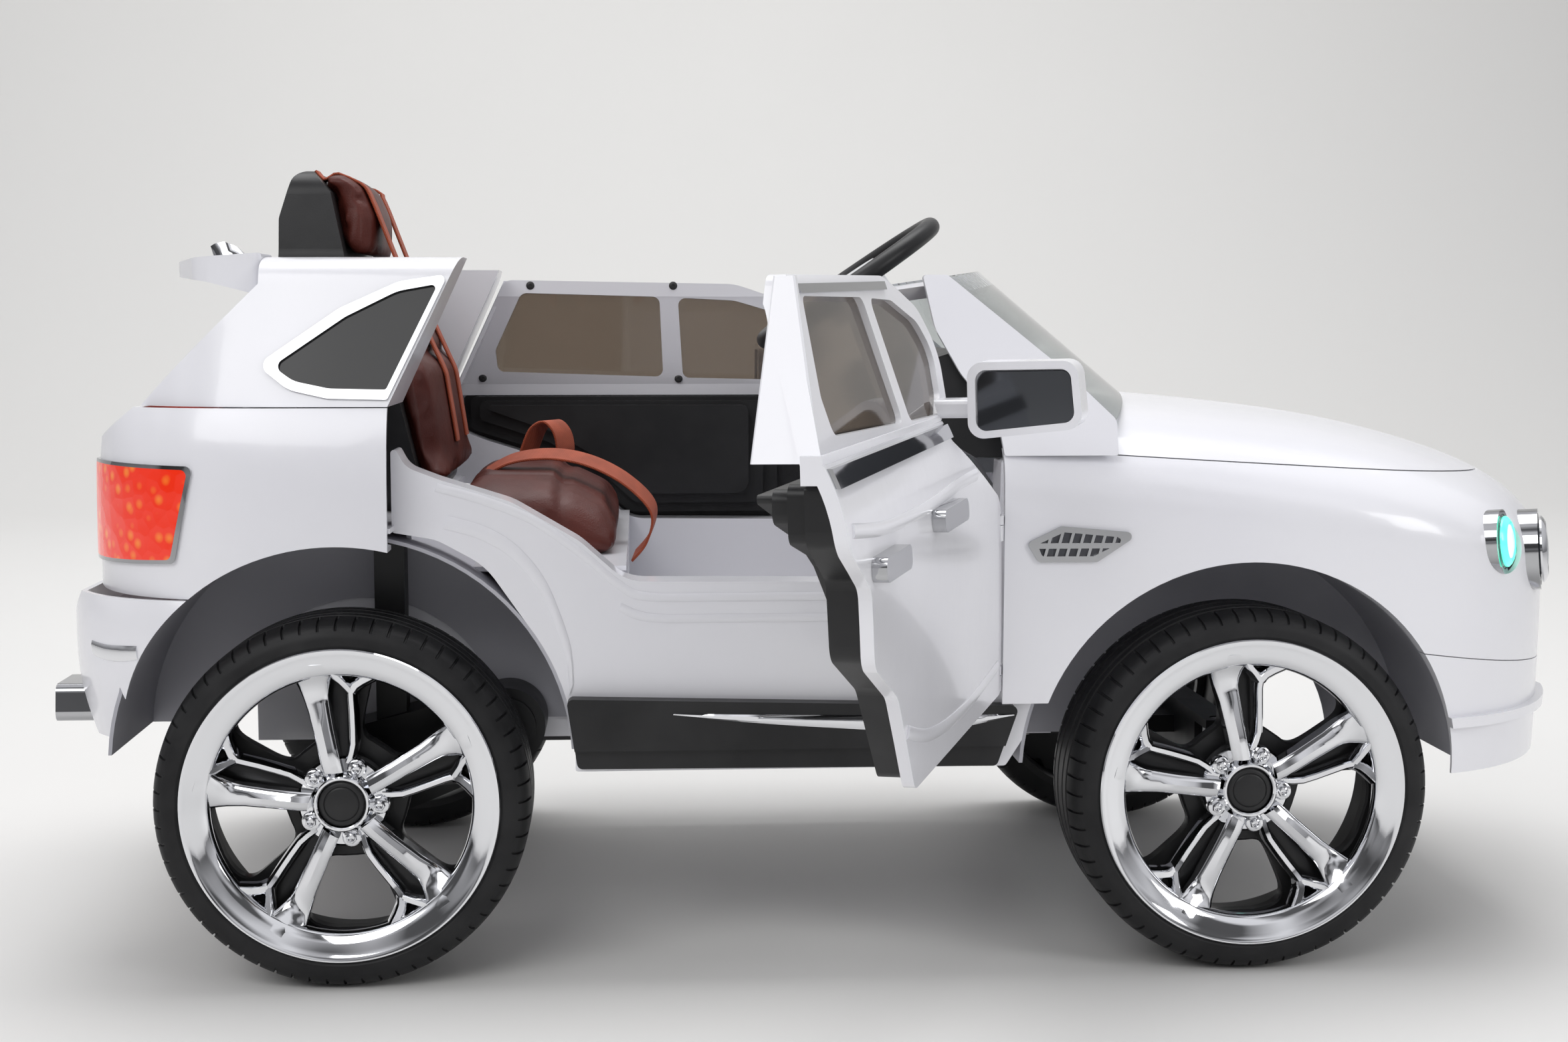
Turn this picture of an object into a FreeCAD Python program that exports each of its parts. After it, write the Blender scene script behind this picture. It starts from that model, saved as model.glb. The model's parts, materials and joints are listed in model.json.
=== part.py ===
import FreeCAD, Part
import math
import os

V = FreeCAD.Vector

# Driving sizes in millimetres, X forward, Y left, Z up, ground at zero
WHEELBASE = 762.0
TYRE_RADIUS = 155.0
TYRE_WIDTH = 104.0
RIM_RADIUS = 131.0
BODY_HALF_WIDTH = 333.0
WHEEL_INSET = 3.0
FLOOR_RISE = 17.0
BELT_RISE = 310.0
CABIN_HEIGHT = 122.0
SILL_INSET = 33.0
SILL_WIDTH = 38.0
WALL = 4.0
SEAM = 0.9
RUNNING_FIT = 0.05
AXLE_RADIUS = 8.0
HUB_RADIUS = 24.0
HUB_FACE = 30.0
FAR = 900.0
LOFT_DEGREE = 3

# Main lines of the car that follow from them
FRONT_AXLE_X = WHEELBASE / 2
REAR_AXLE_X = -WHEELBASE / 2
WHEEL_FACE = BODY_HALF_WIDTH - WHEEL_INSET
WHEEL_Y = WHEEL_FACE - TYRE_WIDTH / 2
AXLE_END = WHEEL_Y + HUB_FACE
FLOOR_Z = TYRE_RADIUS + FLOOR_RISE
BELT_Z = FLOOR_Z + BELT_RISE
ROOF_Z = BELT_Z + CABIN_HEIGHT
SILL_OUTER = BODY_HALF_WIDTH - SILL_INSET
SILL_INNER = SILL_OUTER - SILL_WIDTH
UPPER_BELT = BODY_HALF_WIDTH - 17.0
UPPER_ROOF = UPPER_BELT - 30.0
PILLAR_X = REAR_AXLE_X + 43.0
FENDER_X = FRONT_AXLE_X - 215.0
BONNET_X = FRONT_AXLE_X - 119.0
BONNET_SEAM_Z = BELT_Z - 41.0
BONNET_SLOPE = 0.065

# Door
DOOR_OPEN_ANGLE = 70.0
HINGE_LEAN = 2.0
HINGE_X = FENDER_X - 6.0
HINGE_Y = BODY_HALF_WIDTH - 5.0
HINGE_Z = FLOOR_Z + 178.0
HINGE_PIN_RADIUS = 3.0
HINGE_BARREL_RADIUS = 5.6
HINGE_HEIGHTS = (FLOOR_Z + 86.0, FLOOR_Z + 212.0)
DOOR_SKIN = 9.0
DOOR_INNER_FACE = SILL_OUTER + 2.0
DOOR_GAP = 3.0

# Steering
STEER_RADIUS = 96.0
STEER_GRIP = 9.0
STEER_RAKE = 55.5
SHAFT_RADIUS = 8.0
CRANK_RADIUS = 20.0
CRANK_PIN_RADIUS = 4.0
KING_PIN_GAP = 14.0
KING_PIN_Y = WHEEL_FACE - TYRE_WIDTH - KING_PIN_GAP
KING_PIN_RADIUS = 7.0
STEER_ARM = 50.0
TIE_ROD_Z = TYRE_RADIUS + 5.0
CRANK_RISE = 18.4
STEER_CENTRE = V(FRONT_AXLE_X - 313, 0, BELT_Z + 106)
SHAFT_LENGTH = (STEER_CENTRE.z - TIE_ROD_Z - CRANK_RISE) / math.sin(math.radians(STEER_RAKE))

# Floor, seat base and wheel arches
FLOOR_THICKNESS = 5.0
SEAT_BASE_Z = FLOOR_Z + 173.0
SHELF_Z = FLOOR_Z + 212.0
ARCH_GAP = 30.0
REAR_ARCH_Z = TYRE_RADIUS + ARCH_GAP
REAR_ARCH_RADIUS = TYRE_RADIUS + ARCH_GAP
FRONT_ARCH_X = FRONT_AXLE_X - 5.0
FRONT_ARCH_Z = TYRE_RADIUS + 13.0
FRONT_ARCH_RADIUS = TYRE_RADIUS + 28.5
WELL_DEPTH = 61.0
FRONT_WELL = WHEEL_FACE - TYRE_WIDTH - WELL_DEPTH
REAR_WELL = FRONT_WELL - 15.0
LINER_GAP = 4.0
LINER_WALL = 3.0
LINER_EDGE = SILL_OUTER - 1.0
FENDER_LOW_Z = FLOOR_Z + 62.0


# An outline drawn from a point of reference
def drawn_from(x, z, points):
    return [(x + point[0], z + point[1]) + tuple(point[2:]) for point in points]


# Front stations: x from the axle, tuck, widest line above the floor, top above the belt, power of the shoulder
FRONT_STATIONS = [
    (FRONT_AXLE_X + x, BODY_HALF_WIDTH - tuck, FLOOR_Z + wide, BELT_Z + top, power)
    for x, tuck, wide, top, power in (
        (-215, 1, 228, 10, 3.2),
        (-121, 1, 220, 4, 3.0),
        (-21, 1, 210, -2, 2.8),
        (69, 3, 200, -11, 2.6),
        (139, 9, 190, -22, 2.5),
        (194, 24, 180, -35, 2.4),
        (239, 52, 170, -49, 2.4),
        (274, 90, 163, -64, 2.4),
        (299, 133, 158, -80, 2.4),
        (316, 178, 153, -97, 2.4),
    )
]
# Rear stations: x from the axle and tuck of the half width
REAR_PLAN = [(43, 0), (-39, 0), (-89, 4), (-124, 13), (-154, 29), (-179, 52), (-197, 78)]
REAR_PLAN += [(-209, 105), (-217, 133)]
SIDE_WIDE_Z = FLOOR_Z + 228.0
SIDE_TOP_Z = BELT_Z + 103.0
SIDE_POWER = 2.6
REAR_STATIONS = [
    (REAR_AXLE_X + x, BODY_HALF_WIDTH - tuck, SIDE_WIDE_Z, SIDE_TOP_Z, SIDE_POWER)
    for x, tuck in REAR_PLAN
]
MIDDLE_STATIONS = [
    (PILLAR_X - 6, BODY_HALF_WIDTH, SIDE_WIDE_Z, SIDE_TOP_Z, SIDE_POWER),
    (FENDER_X + 6, BODY_HALF_WIDTH, SIDE_WIDE_Z, SIDE_TOP_Z, SIDE_POWER),
]
BUMPER_SHIFT = 22.0
BUMPER_SWELL = 4.0
BUMPER_LOW_Z = FLOOR_Z + 31.0
BUMPER_TOP_Z = FLOOR_Z + 154.0
BUMPER_TUCK = 26.0
REAR_BUMPER_STATIONS = [
    (REAR_AXLE_X + x - BUMPER_SHIFT, BODY_HALF_WIDTH - tuck + BUMPER_SWELL, FLOOR_Z + 120, BELT_Z - 42, 2.2)
    for x, tuck in REAR_PLAN
]
# Upper stations: x from the rear axle, tuck at the belt, tuck at the roof
UPPER_STATIONS = [
    (REAR_AXLE_X + x, UPPER_BELT - belt, UPPER_ROOF - roof)
    for x, belt, roof in ((119, 0, 0), (1, 1, 2), (-69, 7, 10), (-119, 21, 26), (-154, 44, 50), (-181, 76, 81))
]


def chord_steps(points):
    steps = [0.0]
    for before, after in zip(points, points[1:]):
        steps.append(steps[-1] + (after - before).Length)
    return steps


# Every section of a form runs on the same steps, so that the skin between two sections stays fair
def loft_through(sections):
    steps = chord_steps(sections[0])
    wires = []
    for points in sections:
        curve = Part.BSplineCurve()
        curve.interpolate(Points=points, Parameters=steps)
        wires.append(Part.Wire([curve.toShape(), Part.makeLine(points[-1], points[0])]))
    if len(wires) == 1:
        return wires[0]
    return Part.makeLoft(wires, True, False, False, LOFT_DEGREE)


def side_points(width, wide_z, top_z, power, low_z, tuck):
    points = []
    for step in range(4):
        share = 1 - step / 4
        points.append((width - tuck * share ** 2, wide_z - (wide_z - low_z) * share))
    for step in range(8):
        turn = math.radians(90 * step / 7)
        across = width * max(math.cos(turn), 0.0) ** (2 / power)
        points.append((across if step < 7 else 0.0, wide_z + (top_z - wide_z) * math.sin(turn) ** (2 / power)))
    return points


def upper_points(belt, roof, belt_z, roof_z):
    lean = (belt - roof) / (roof_z - 22 - belt_z)
    return [
        (belt + 45 * lean, belt_z - 45),
        (belt, belt_z),
        (belt - 0.5 * (roof_z - 22 - belt_z) * lean, (belt_z + roof_z - 22) / 2),
        (roof, roof_z - 22),
        (roof - 6, roof_z - 9),
        (roof - 20, roof_z - 2),
        (roof - 60, roof_z + 1),
        (roof * 0.5, roof_z + 2.5),
        (0, roof_z + 4),
    ]


def section_points(x, half):
    right = [V(x, -y, z) for y, z in half]
    left = [V(x, y, z) for y, z in reversed(half[:-1])]
    return right + left


def inset_plan(rows, inset):
    moved = []
    last = len(rows) - 1
    for index, row in enumerate(rows):
        before = rows[max(index - 1, 0)]
        after = rows[min(index + 1, last)]
        slope = (after[1] - before[1]) / (after[0] - before[0])
        length = math.hypot(1, slope)
        side = 1 if rows[last][0] > rows[0][0] else -1
        x = row[0] + side * inset * (slope * side) / length
        if index == 0 and inset > 0:
            x = row[0] - side * 12
        moved.append((x, row[1] - inset / length) + tuple(row[2:]))
    return moved


def body_form(rows, inset, low_z=FLOOR_Z - 7, tuck=8.0):
    drop = 12.0 if inset > 0 else 0.0
    sections = []
    for x, width, wide_z, top_z, power in inset_plan(rows, inset):
        half = side_points(width, wide_z, top_z - inset, power, low_z - drop, tuck)
        sections.append(section_points(x, half))
    return loft_through(sections)


def upper_form(inset):
    sections = []
    for x, belt, roof in UPPER_STATIONS:
        half = upper_points(belt - inset, roof - inset, BELT_Z, ROOF_Z - inset)
        sections.append(section_points(x, half))
    return loft_through(sections)


def upper_bar(inset, x0, x1):
    half = upper_points(UPPER_BELT - inset, UPPER_ROOF - inset, BELT_Z, ROOF_Z - inset)
    face = Part.Face(loft_through([section_points(x0, half)]))
    return face.extrude(V(x1 - x0, 0, 0))


def rounded_wire(points, radius, place):
    count = len(points)
    edges = []
    ends = []
    for index in range(count):
        corner = V(points[index][0], points[index][1], 0)
        before = V(points[index - 1][0], points[index - 1][1], 0) - corner
        after = V(points[(index + 1) % count][0], points[(index + 1) % count][1], 0) - corner
        half = before.getAngle(after) / 2
        size = points[index][2] if len(points[index]) > 2 else radius
        reach = min(size / math.tan(half), 0.45 * before.Length, 0.45 * after.Length)
        if size <= 0 or reach < 0.05:
            ends.append((corner, None, corner))
            continue
        start = corner + before.normalize() * reach
        end = corner + after.normalize() * reach
        middle = before + after
        bulge = reach * math.tan(half)
        centre = corner + middle.normalize() * (bulge / math.sin(half))
        mid = centre + (corner - centre).normalize() * bulge
        ends.append((start, mid, end))
    for index in range(count):
        start, mid, end = ends[index]
        if mid is not None:
            edges.append(Part.Arc(place(start), place(mid), place(end)).toShape())
        following = ends[(index + 1) % count][0]
        if (following - end).Length > 1e-6:
            edges.append(Part.makeLine(place(end), place(following)))
    return Part.Wire(edges)


def prism_xz(points, y0, y1, radius=0.0):
    wire = rounded_wire(points, radius, lambda p: V(p.x, y0, p.y))
    return Part.Face(wire).extrude(V(0, y1 - y0, 0))


def prism_xy(points, z0, z1, radius=0.0):
    wire = rounded_wire(points, radius, lambda p: V(p.x, p.y, z0))
    return Part.Face(wire).extrude(V(0, 0, z1 - z0))


def prism_yz(points, x0, x1, radius=0.0):
    wire = rounded_wire(points, radius, lambda p: V(x0, p.x, p.y))
    return Part.Face(wire).extrude(V(x1 - x0, 0, 0))


def box(x0, x1, y0, y1, z0, z1):
    return Part.makeBox(x1 - x0, y1 - y0, z1 - z0, V(x0, y0, z0))


def rod(start, end, radius):
    return Part.makeCylinder(radius, (end - start).Length, start, end - start)


def tube(start, end, outer, inner):
    return rod(start, end, outer).cut(rod(start, end, inner))


def mirrored(shape):
    return shape.mirror(V(0, 0, 0), V(0, 1, 0))


def both(shape):
    return Part.Compound([shape, mirrored(shape)])


def cross_rod(x, z, radius, y0, y1):
    return rod(V(x, y0, z), V(x, y1, z), radius)


def fuse_all(shapes, tidy=True):
    whole = shapes[0].multiFuse(shapes[1:])
    return whole.removeSplitter() if tidy else whole


def biggest(shape):
    return max(shape.Solids, key=lambda solid: solid.Volume)


def soften(shape, radius, chosen=None):
    edges = [edge for edge in shape.Edges if chosen is None or chosen(edge)]
    return shape.makeFillet(radius, edges)


# Master forms of the outer skin
front_form = body_form(FRONT_STATIONS, 0)
front_core = body_form(FRONT_STATIONS, WALL)
front_skin = front_form.cut(front_core)
rear_form = body_form(REAR_STATIONS, 0)
rear_core = body_form(REAR_STATIONS, WALL)
middle_form = body_form(MIDDLE_STATIONS, 0)
upper_outer = upper_form(0)
upper_inner = upper_form(WALL)


def bonnet_seam(x):
    return BONNET_SEAM_Z - BONNET_SLOPE * (x - BONNET_X)


def above_bonnet_seam(x0, drop):
    low = [(x0, bonnet_seam(x0) - drop), (FAR, bonnet_seam(FAR) - drop)]
    return prism_xz(low + [(FAR, FAR), (x0, FAR)], -FAR, FAR)


def front_bumper_zone(lift):
    x0 = FRONT_AXLE_X + 39
    return prism_xz([(x0, FLOOR_Z + 115 + lift), (FAR, FLOOR_Z + 46 + lift), (FAR, 0), (x0, 0)], -FAR, FAR)


front_arches = both(cross_rod(FRONT_ARCH_X, FRONT_ARCH_Z, FRONT_ARCH_RADIUS, -FAR, -FRONT_WELL))
rear_arches = both(cross_rod(REAR_AXLE_X, REAR_ARCH_Z, REAR_ARCH_RADIUS, -FAR, -REAR_WELL))


def front_liner_room(edge, clearance):
    radius = FRONT_ARCH_RADIUS + LINER_GAP + LINER_WALL + clearance
    return both(cross_rod(FRONT_ARCH_X, FRONT_ARCH_Z, radius, -edge, -FRONT_WELL + 2))


def rear_liner_room(edge, clearance):
    radius = REAR_ARCH_RADIUS + LINER_GAP + LINER_WALL + clearance
    return both(cross_rod(REAR_AXLE_X, REAR_ARCH_Z, radius, -edge, -REAR_WELL + 2))


def arch_lip(x, z, radius, form):
    outer = BODY_HALF_WIDTH - 4
    ring = tube(V(x, -outer, z), V(x, -outer + 23, z), radius + 3.5, radius)
    return both(ring.common(form))


# Lamps in the nose, each on its own axis
LAMPS = [
    (V(FRONT_AXLE_X + 223, 50 - BODY_HALF_WIDTH, FLOOR_Z + 190), V(0.82, -0.56, 0.10), 28.0),
    (V(FRONT_AXLE_X + 276, 98 - BODY_HALF_WIDTH, FLOOR_Z + 178), V(0.90, -0.42, 0.08), 36.0),
]
LAMP_RING = 4.0


def lamp_hole(centre, axis, radius):
    direction = V(axis).normalize()
    return rod(centre - direction * 40, centre + direction * 40, radius)


def lamp_lens(centre, axis, radius):
    direction = V(axis).normalize()
    body = rod(centre - direction * 20, centre + direction * 14, radius - LAMP_RING)
    ball = Part.makeSphere(radius * 2.2, centre - direction * (radius * 2.2 - 9))
    return body.common(ball)


def lamp_bezel(centre, axis, radius):
    direction = V(axis).normalize()
    return tube(centre - direction * 20, centre + direction * 5, radius, radius - LAMP_RING)


GRILLE_Z = FLOOR_Z + 158
GRILLE_FACE = FRONT_AXLE_X + 319
GRILLE_BARS = 15
GRILLE_PITCH = 15.0
NOSE_RANGE = (FRONT_AXLE_X + 259, FRONT_AXLE_X + 379)
VENT = [(-197, 197), (-168, 211), (-102, 205), (-138, 181), (-187, 181)]
VENT_HOLE = [(-188, 196), (-166, 206), (-111, 201), (-141, 186), (-184, 186)]


def grille_outline(across, up):
    outline = [(-118, -42), (118, -42), (128, 0), (104, 42), (-104, 42), (-128, 0)]
    return [(y * across, GRILLE_Z + z * up) for y, z in outline]


def vent_prism(outline, radius):
    return prism_xz(drawn_from(FRONT_AXLE_X, FLOOR_Z, outline), -FAR, -SILL_OUTER, radius)


def front_shell():
    shell = front_skin.cut(above_bonnet_seam(FENDER_X - 20, SEAM))
    shell = shell.cut(front_bumper_zone(0))
    shell = fuse_all([shell] + arch_lip(FRONT_ARCH_X, FRONT_ARCH_Z, FRONT_ARCH_RADIUS, front_form)
                     .cut(front_bumper_zone(0)).Solids)
    shell = shell.cut(front_arches).cut(box(0, FRONT_ARCH_X, -FAR, FAR, 0, FENDER_LOW_Z))
    shell = shell.cut(prism_yz(grille_outline(1, 1), *NOSE_RANGE, 10))
    for lamp in LAMPS:
        shell = shell.cut(both(lamp_hole(*lamp)))
    shell = shell.cut(both(vent_prism(VENT, 4)))
    return biggest(shell)


def bonnet():
    return biggest(front_skin.common(above_bonnet_seam(BONNET_X, 0)))


def front_bumper():
    lip_slab = box(FRONT_AXLE_X + 159, FAR, -FAR, FAR, FLOOR_Z + 34, FLOOR_Z + 43)
    lip = body_form(FRONT_STATIONS, -7).common(lip_slab).cut(front_core)
    bumper = front_skin.common(front_bumper_zone(-SEAM))
    ring = arch_lip(FRONT_ARCH_X, FRONT_ARCH_Z, FRONT_ARCH_RADIUS, front_form).common(front_bumper_zone(-SEAM))
    bumper = fuse_all([bumper, lip] + ring.common(box(FRONT_ARCH_X, FAR, -FAR, FAR, 0, BELT_Z)).Solids)
    bumper = bumper.cut(front_arches).cut(box(0, FRONT_ARCH_X, -FAR, FAR, 0, BELT_Z))
    bumper = bumper.cut(front_liner_room(LINER_EDGE + 0.5, 0.3))
    low, high = FLOOR_Z + 10, FLOOR_Z + 30
    intake = prism_yz([(-150, low), (150, low), (132, high), (-132, high)], *NOSE_RANGE, 6)
    return biggest(bumper.cut(intake))


def front_grille():
    outer = prism_yz(grille_outline(1, 1), GRILLE_FACE - 14, GRILLE_FACE, 10)
    face = outer.cut(prism_yz(grille_outline(0.93, 0.84), GRILLE_FACE - 20, GRILLE_FACE + 10, 8))
    bars = [box(GRILLE_FACE - 11, GRILLE_FACE - 7, -122, 122, GRILLE_Z - 2, GRILLE_Z + 2)]
    for index in range(GRILLE_BARS):
        y = (index - (GRILLE_BARS - 1) / 2) * GRILLE_PITCH
        bars.append(box(GRILLE_FACE - 10, GRILLE_FACE - 3, y - 1.6, y + 1.6, GRILLE_Z - 38, GRILLE_Z + 38))
    inside = prism_yz(grille_outline(0.95, 0.9), GRILLE_FACE - 20, GRILLE_FACE + 10, 8)
    return fuse_all([face] + [bar.common(inside) for bar in bars])


VENT_BARS = 9
VENT_PITCH = 9.0


def fender_vents():
    band = body_form(FRONT_STATIONS, -3).cut(body_form(FRONT_STATIONS, 2.5))
    outline = vent_prism(VENT, 4)
    frame = outline.cut(vent_prism(VENT_HOLE, 3))
    spear = vent_prism([(-211, 192.5), (-81, 192.5), (-81, 197), (-211, 197)], 0)
    bars = []
    for index in range(VENT_BARS):
        x = index * VENT_PITCH - 185
        bars.append(vent_prism([(x, 178), (x + 2.5, 178), (x + 12.5, 214), (x + 10, 214)], 0))
    vent = fuse_all([frame] + [bar.common(outline) for bar in [spear] + bars])
    return both(biggest(band.common(vent)))


# Tail of the body: the rear face leans, so the forms are trimmed by a side outline
TAIL = drawn_from(REAR_AXLE_X, BELT_Z, [(-164, 2), (-205, -27), (-209, -52), (-216, -162), (-216, -382)])
BUMPER_TAIL = drawn_from(REAR_AXLE_X, FLOOR_Z, [(-220, 158), (-240, 126), (-238, 100), (-213, 31), (-213, -72)])


def behind(line, inset):
    points = [(x + inset, z - inset * 0.5) for x, z in line]
    x0, z0 = points[0]
    return prism_xz(points + [(-FAR, points[-1][1]), (-FAR, z0 + 200), (x0, z0 + 200)], -FAR, FAR)


TAIL_LAMP_INNER = BODY_HALF_WIDTH - 168.0


def tail_lamp_zone(grow):
    ahead = grow * 1.3
    points = [(-239, -48 + grow), (-116 + ahead, -50 + grow), (-133 + ahead, -123 - grow), (-239, -129 - grow)]
    return prism_xz(drawn_from(REAR_AXLE_X, BELT_Z, points), -FAR, -TAIL_LAMP_INNER + grow, 5)


def rear_shell():
    skin = rear_form.cut(behind(TAIL, 0)).cut(rear_core.cut(behind(TAIL, WALL)))
    slab = box(-FAR, PILLAR_X, -FAR, FAR, BUMPER_TOP_Z + SEAM, BELT_Z - SEAM)
    shell = skin.common(slab)
    ring = arch_lip(REAR_AXLE_X, REAR_ARCH_Z, REAR_ARCH_RADIUS, rear_form).common(slab)
    shell = fuse_all([shell] + ring.Solids)
    shell = shell.cut(rear_arches).cut(both(tail_lamp_zone(3)))
    return biggest(shell)


def tail_lamps():
    outside = body_form(REAR_STATIONS, -3).cut(behind(TAIL, -3))
    band = outside.cut(body_form(REAR_STATIONS, 5).cut(behind(TAIL, 5)))
    lens = biggest(band.common(tail_lamp_zone(0)))
    ring = biggest(band.common(tail_lamp_zone(3).cut(tail_lamp_zone(0))))
    return both(lens), ring


def rear_bumper():
    outer = body_form(REAR_BUMPER_STATIONS, 0, BUMPER_LOW_Z, BUMPER_TUCK).cut(behind(BUMPER_TAIL, 0))
    inner = body_form(REAR_BUMPER_STATIONS, WALL, BUMPER_LOW_Z, BUMPER_TUCK).cut(behind(BUMPER_TAIL, WALL))
    slab = box(-FAR, REAR_AXLE_X, -FAR, FAR, BUMPER_LOW_Z, BUMPER_TOP_Z)
    shell = outer.cut(inner).common(slab)
    shell = shell.cut(rear_arches).cut(rear_liner_room(LINER_EDGE + 0.5, 0.3))
    shell = shell.cut(both(exhaust_zone(0)))
    return biggest(shell)


EXHAUST_END = REAR_AXLE_X - 251
EXHAUST_WALL = 4.0


def exhaust_zone(inset):
    y0, y1 = 97 - BODY_HALF_WIDTH + inset, 165 - BODY_HALF_WIDTH - inset
    z0, z1 = FLOOR_Z + 39 + inset, FLOOR_Z + 71 - inset
    return prism_yz([(y0, z0), (y1, z0), (y1 - 4, z1), (y0 + 4, z1)], EXHAUST_END, EXHAUST_END + 72, 8 - inset)


def exhaust_tips():
    hollow = exhaust_zone(EXHAUST_WALL).cut(box(EXHAUST_END + 32, FAR, -FAR, FAR, 0, FAR))
    return both(exhaust_zone(0).cut(hollow).common(box(EXHAUST_END, EXHAUST_END + 44, -FAR, 0, 0, FAR)))


# Roof rails, rear screen and spoiler
SCREEN_LOW = V(REAR_AXLE_X - 166, 0, BELT_Z)
SCREEN_HIGH = V(REAR_AXLE_X - 68, 0, ROOF_Z - 24)
ROOF_END = REAR_AXLE_X - 65.0
QUARTER_DEPTH = UPPER_ROOF - 36.0
ROOF_SLOPE = 62.0
CUTOUT_X = REAR_AXLE_X - 93.0
CUTOUT_FRONT = REAR_AXLE_X + 181.0
CUTOUT_HALF = UPPER_ROOF - 81.0
QUARTER = drawn_from(REAR_AXLE_X, BELT_Z, [
    (91, CABIN_HEIGHT - 14, 4), (51, CABIN_HEIGHT - 20, 40), (3, CABIN_HEIGHT - 42, 40), (-63, 34, 8),
    (-37, 14, 30), (-5, 7, 30), (43, 6, 3)])
QUARTER_GLASS = drawn_from(REAR_AXLE_X, BELT_Z, [
    (83, CABIN_HEIGHT - 22, 3), (50, CABIN_HEIGHT - 28, 40), (8, CABIN_HEIGHT - 49, 40), (-50, 33, 6),
    (-33, 21, 26), (-4, 15, 26), (42, 14, 3)])


def upper_outline(back, front):
    top = ROOF_Z + 12
    front_line = [(PILLAR_X + front, BELT_Z), (PILLAR_X + front + ROOF_SLOPE, top)]
    back_line = [(ROOF_END + back, top), (ROOF_END + back, ROOF_Z - 22), (SCREEN_LOW.x + back, BELT_Z)]
    return prism_xz(front_line + back_line, -FAR, FAR)


def screen_zone(grow):
    low, high = UPPER_BELT - 94 + grow, UPPER_ROOF - 86 + grow
    z0, z1 = BELT_Z + 10 - grow, ROOF_Z - 38 + grow
    return prism_yz([(-low, z0), (low, z0), (high, z1), (-high, z1)], SCREEN_LOW.x - 53, ROOF_END - 4, 12)


def rear_upper_shell():
    outer = upper_outer.common(upper_outline(0, 0))
    inner = upper_inner.common(upper_outline(WALL, 40))
    shell = outer.cut(inner)
    cutout = box(CUTOUT_X, CUTOUT_FRONT, -CUTOUT_HALF, CUTOUT_HALF, BELT_Z - 1, FAR)
    shell = shell.cut(cutout)
    wall = box(CUTOUT_X, CUTOUT_FRONT, -CUTOUT_HALF - WALL, -CUTOUT_HALF, BELT_Z, FAR).common(outer)
    front = upper_outline(0, 0).cut(upper_outline(0, -6))
    front = front.common(box(-FAR, FAR, -FAR, -CUTOUT_HALF, 0, FAR)).common(outer)
    shell = fuse_all([shell, wall, mirrored(wall), front, mirrored(front)], False)
    shell = shell.cut(both(prism_xz(QUARTER, -FAR, -QUARTER_DEPTH, 6)))
    shell = shell.cut(screen_zone(0))
    return biggest(shell)


def rear_screen():
    slope = (SCREEN_HIGH - SCREEN_LOW).normalize()
    out = V(-slope.z, 0, slope.x)
    points = [SCREEN_LOW - slope * 40, SCREEN_HIGH + slope * 40]
    corners = [points[0] - out * 4, points[1] - out * 4, points[1] - out * 0.5, points[0] - out * 0.5]
    slab = prism_xz([(p.x, p.z) for p in corners], -UPPER_ROOF, UPPER_ROOF)
    return biggest(slab.common(screen_zone(0)))


def quarter_parts():
    band = upper_form(-2.5).cut(upper_form(2.5))
    outline = prism_xz(QUARTER, -FAR, -QUARTER_DEPTH, 6)
    hole = prism_xz(QUARTER_GLASS, -FAR, -QUARTER_DEPTH, 4)
    frame = biggest(band.common(outline.cut(hole)))
    glass = biggest(upper_form(0).cut(upper_form(3)).common(hole))
    return both(glass), both(frame)


def rear_spoiler():
    edge = UPPER_ROOF - 22
    half = [(-65.5, edge), (-119, edge - 6, 30), (-147, edge - 74, 60), (-169, 70, 90)]
    plan = [(REAR_AXLE_X + row[0], -row[1]) + row[2:] for row in reversed(half)]
    plan += [(REAR_AXLE_X + row[0],) + row[1:] for row in half]
    side = drawn_from(REAR_AXLE_X, ROOF_Z, [
        (-65.5, 4), (-124, 0), (-175, -5), (-175, -11), (-111, -20), (-71, -30),
                                            (-65.5, -20)])
    wing = prism_xy(plan, ROOF_Z - 44, ROOF_Z + 16, 8).common(prism_xz(side, -FAR, FAR, 2))
    wing = wing.cut(box(CUTOUT_X, CUTOUT_FRONT, -CUTOUT_HALF, CUTOUT_HALF, 0, FAR))
    blocked = upper_outer.common(upper_outline(0, 0))
    return biggest(wing.cut(blocked))


# Windscreen: ruled between a base arc and a top arc, pillars on both sides
GLASS_BASE = (V(FRONT_AXLE_X - 123, 0, BELT_Z - 19), V(FRONT_AXLE_X - 67, 0, BELT_Z + 6), UPPER_BELT - 4.0)
GLASS_TOP = (V(FRONT_AXLE_X - 262, 0, ROOF_Z - 18), V(FRONT_AXLE_X - 195, 0, ROOF_Z - 8), UPPER_ROOF - 9.5)
GLASS_THICKNESS = 3.0
GLASS_OUT = V(0.56, 0, 0.83)


def glass_arc(share, widen):
    side = GLASS_BASE[0] + (GLASS_TOP[0] - GLASS_BASE[0]) * share
    middle = GLASS_BASE[1] + (GLASS_TOP[1] - GLASS_BASE[1]) * share
    half = GLASS_BASE[2] + (GLASS_TOP[2] - GLASS_BASE[2]) * share + widen
    return Part.Arc(V(side.x, -half, side.z), middle, V(side.x, half, side.z)).toShape()


def glass_strip(low, high, widen, depth):
    face = Part.makeRuledSurface(glass_arc(low, widen), glass_arc(high, widen))
    return face.extrude(GLASS_OUT * depth)


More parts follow.
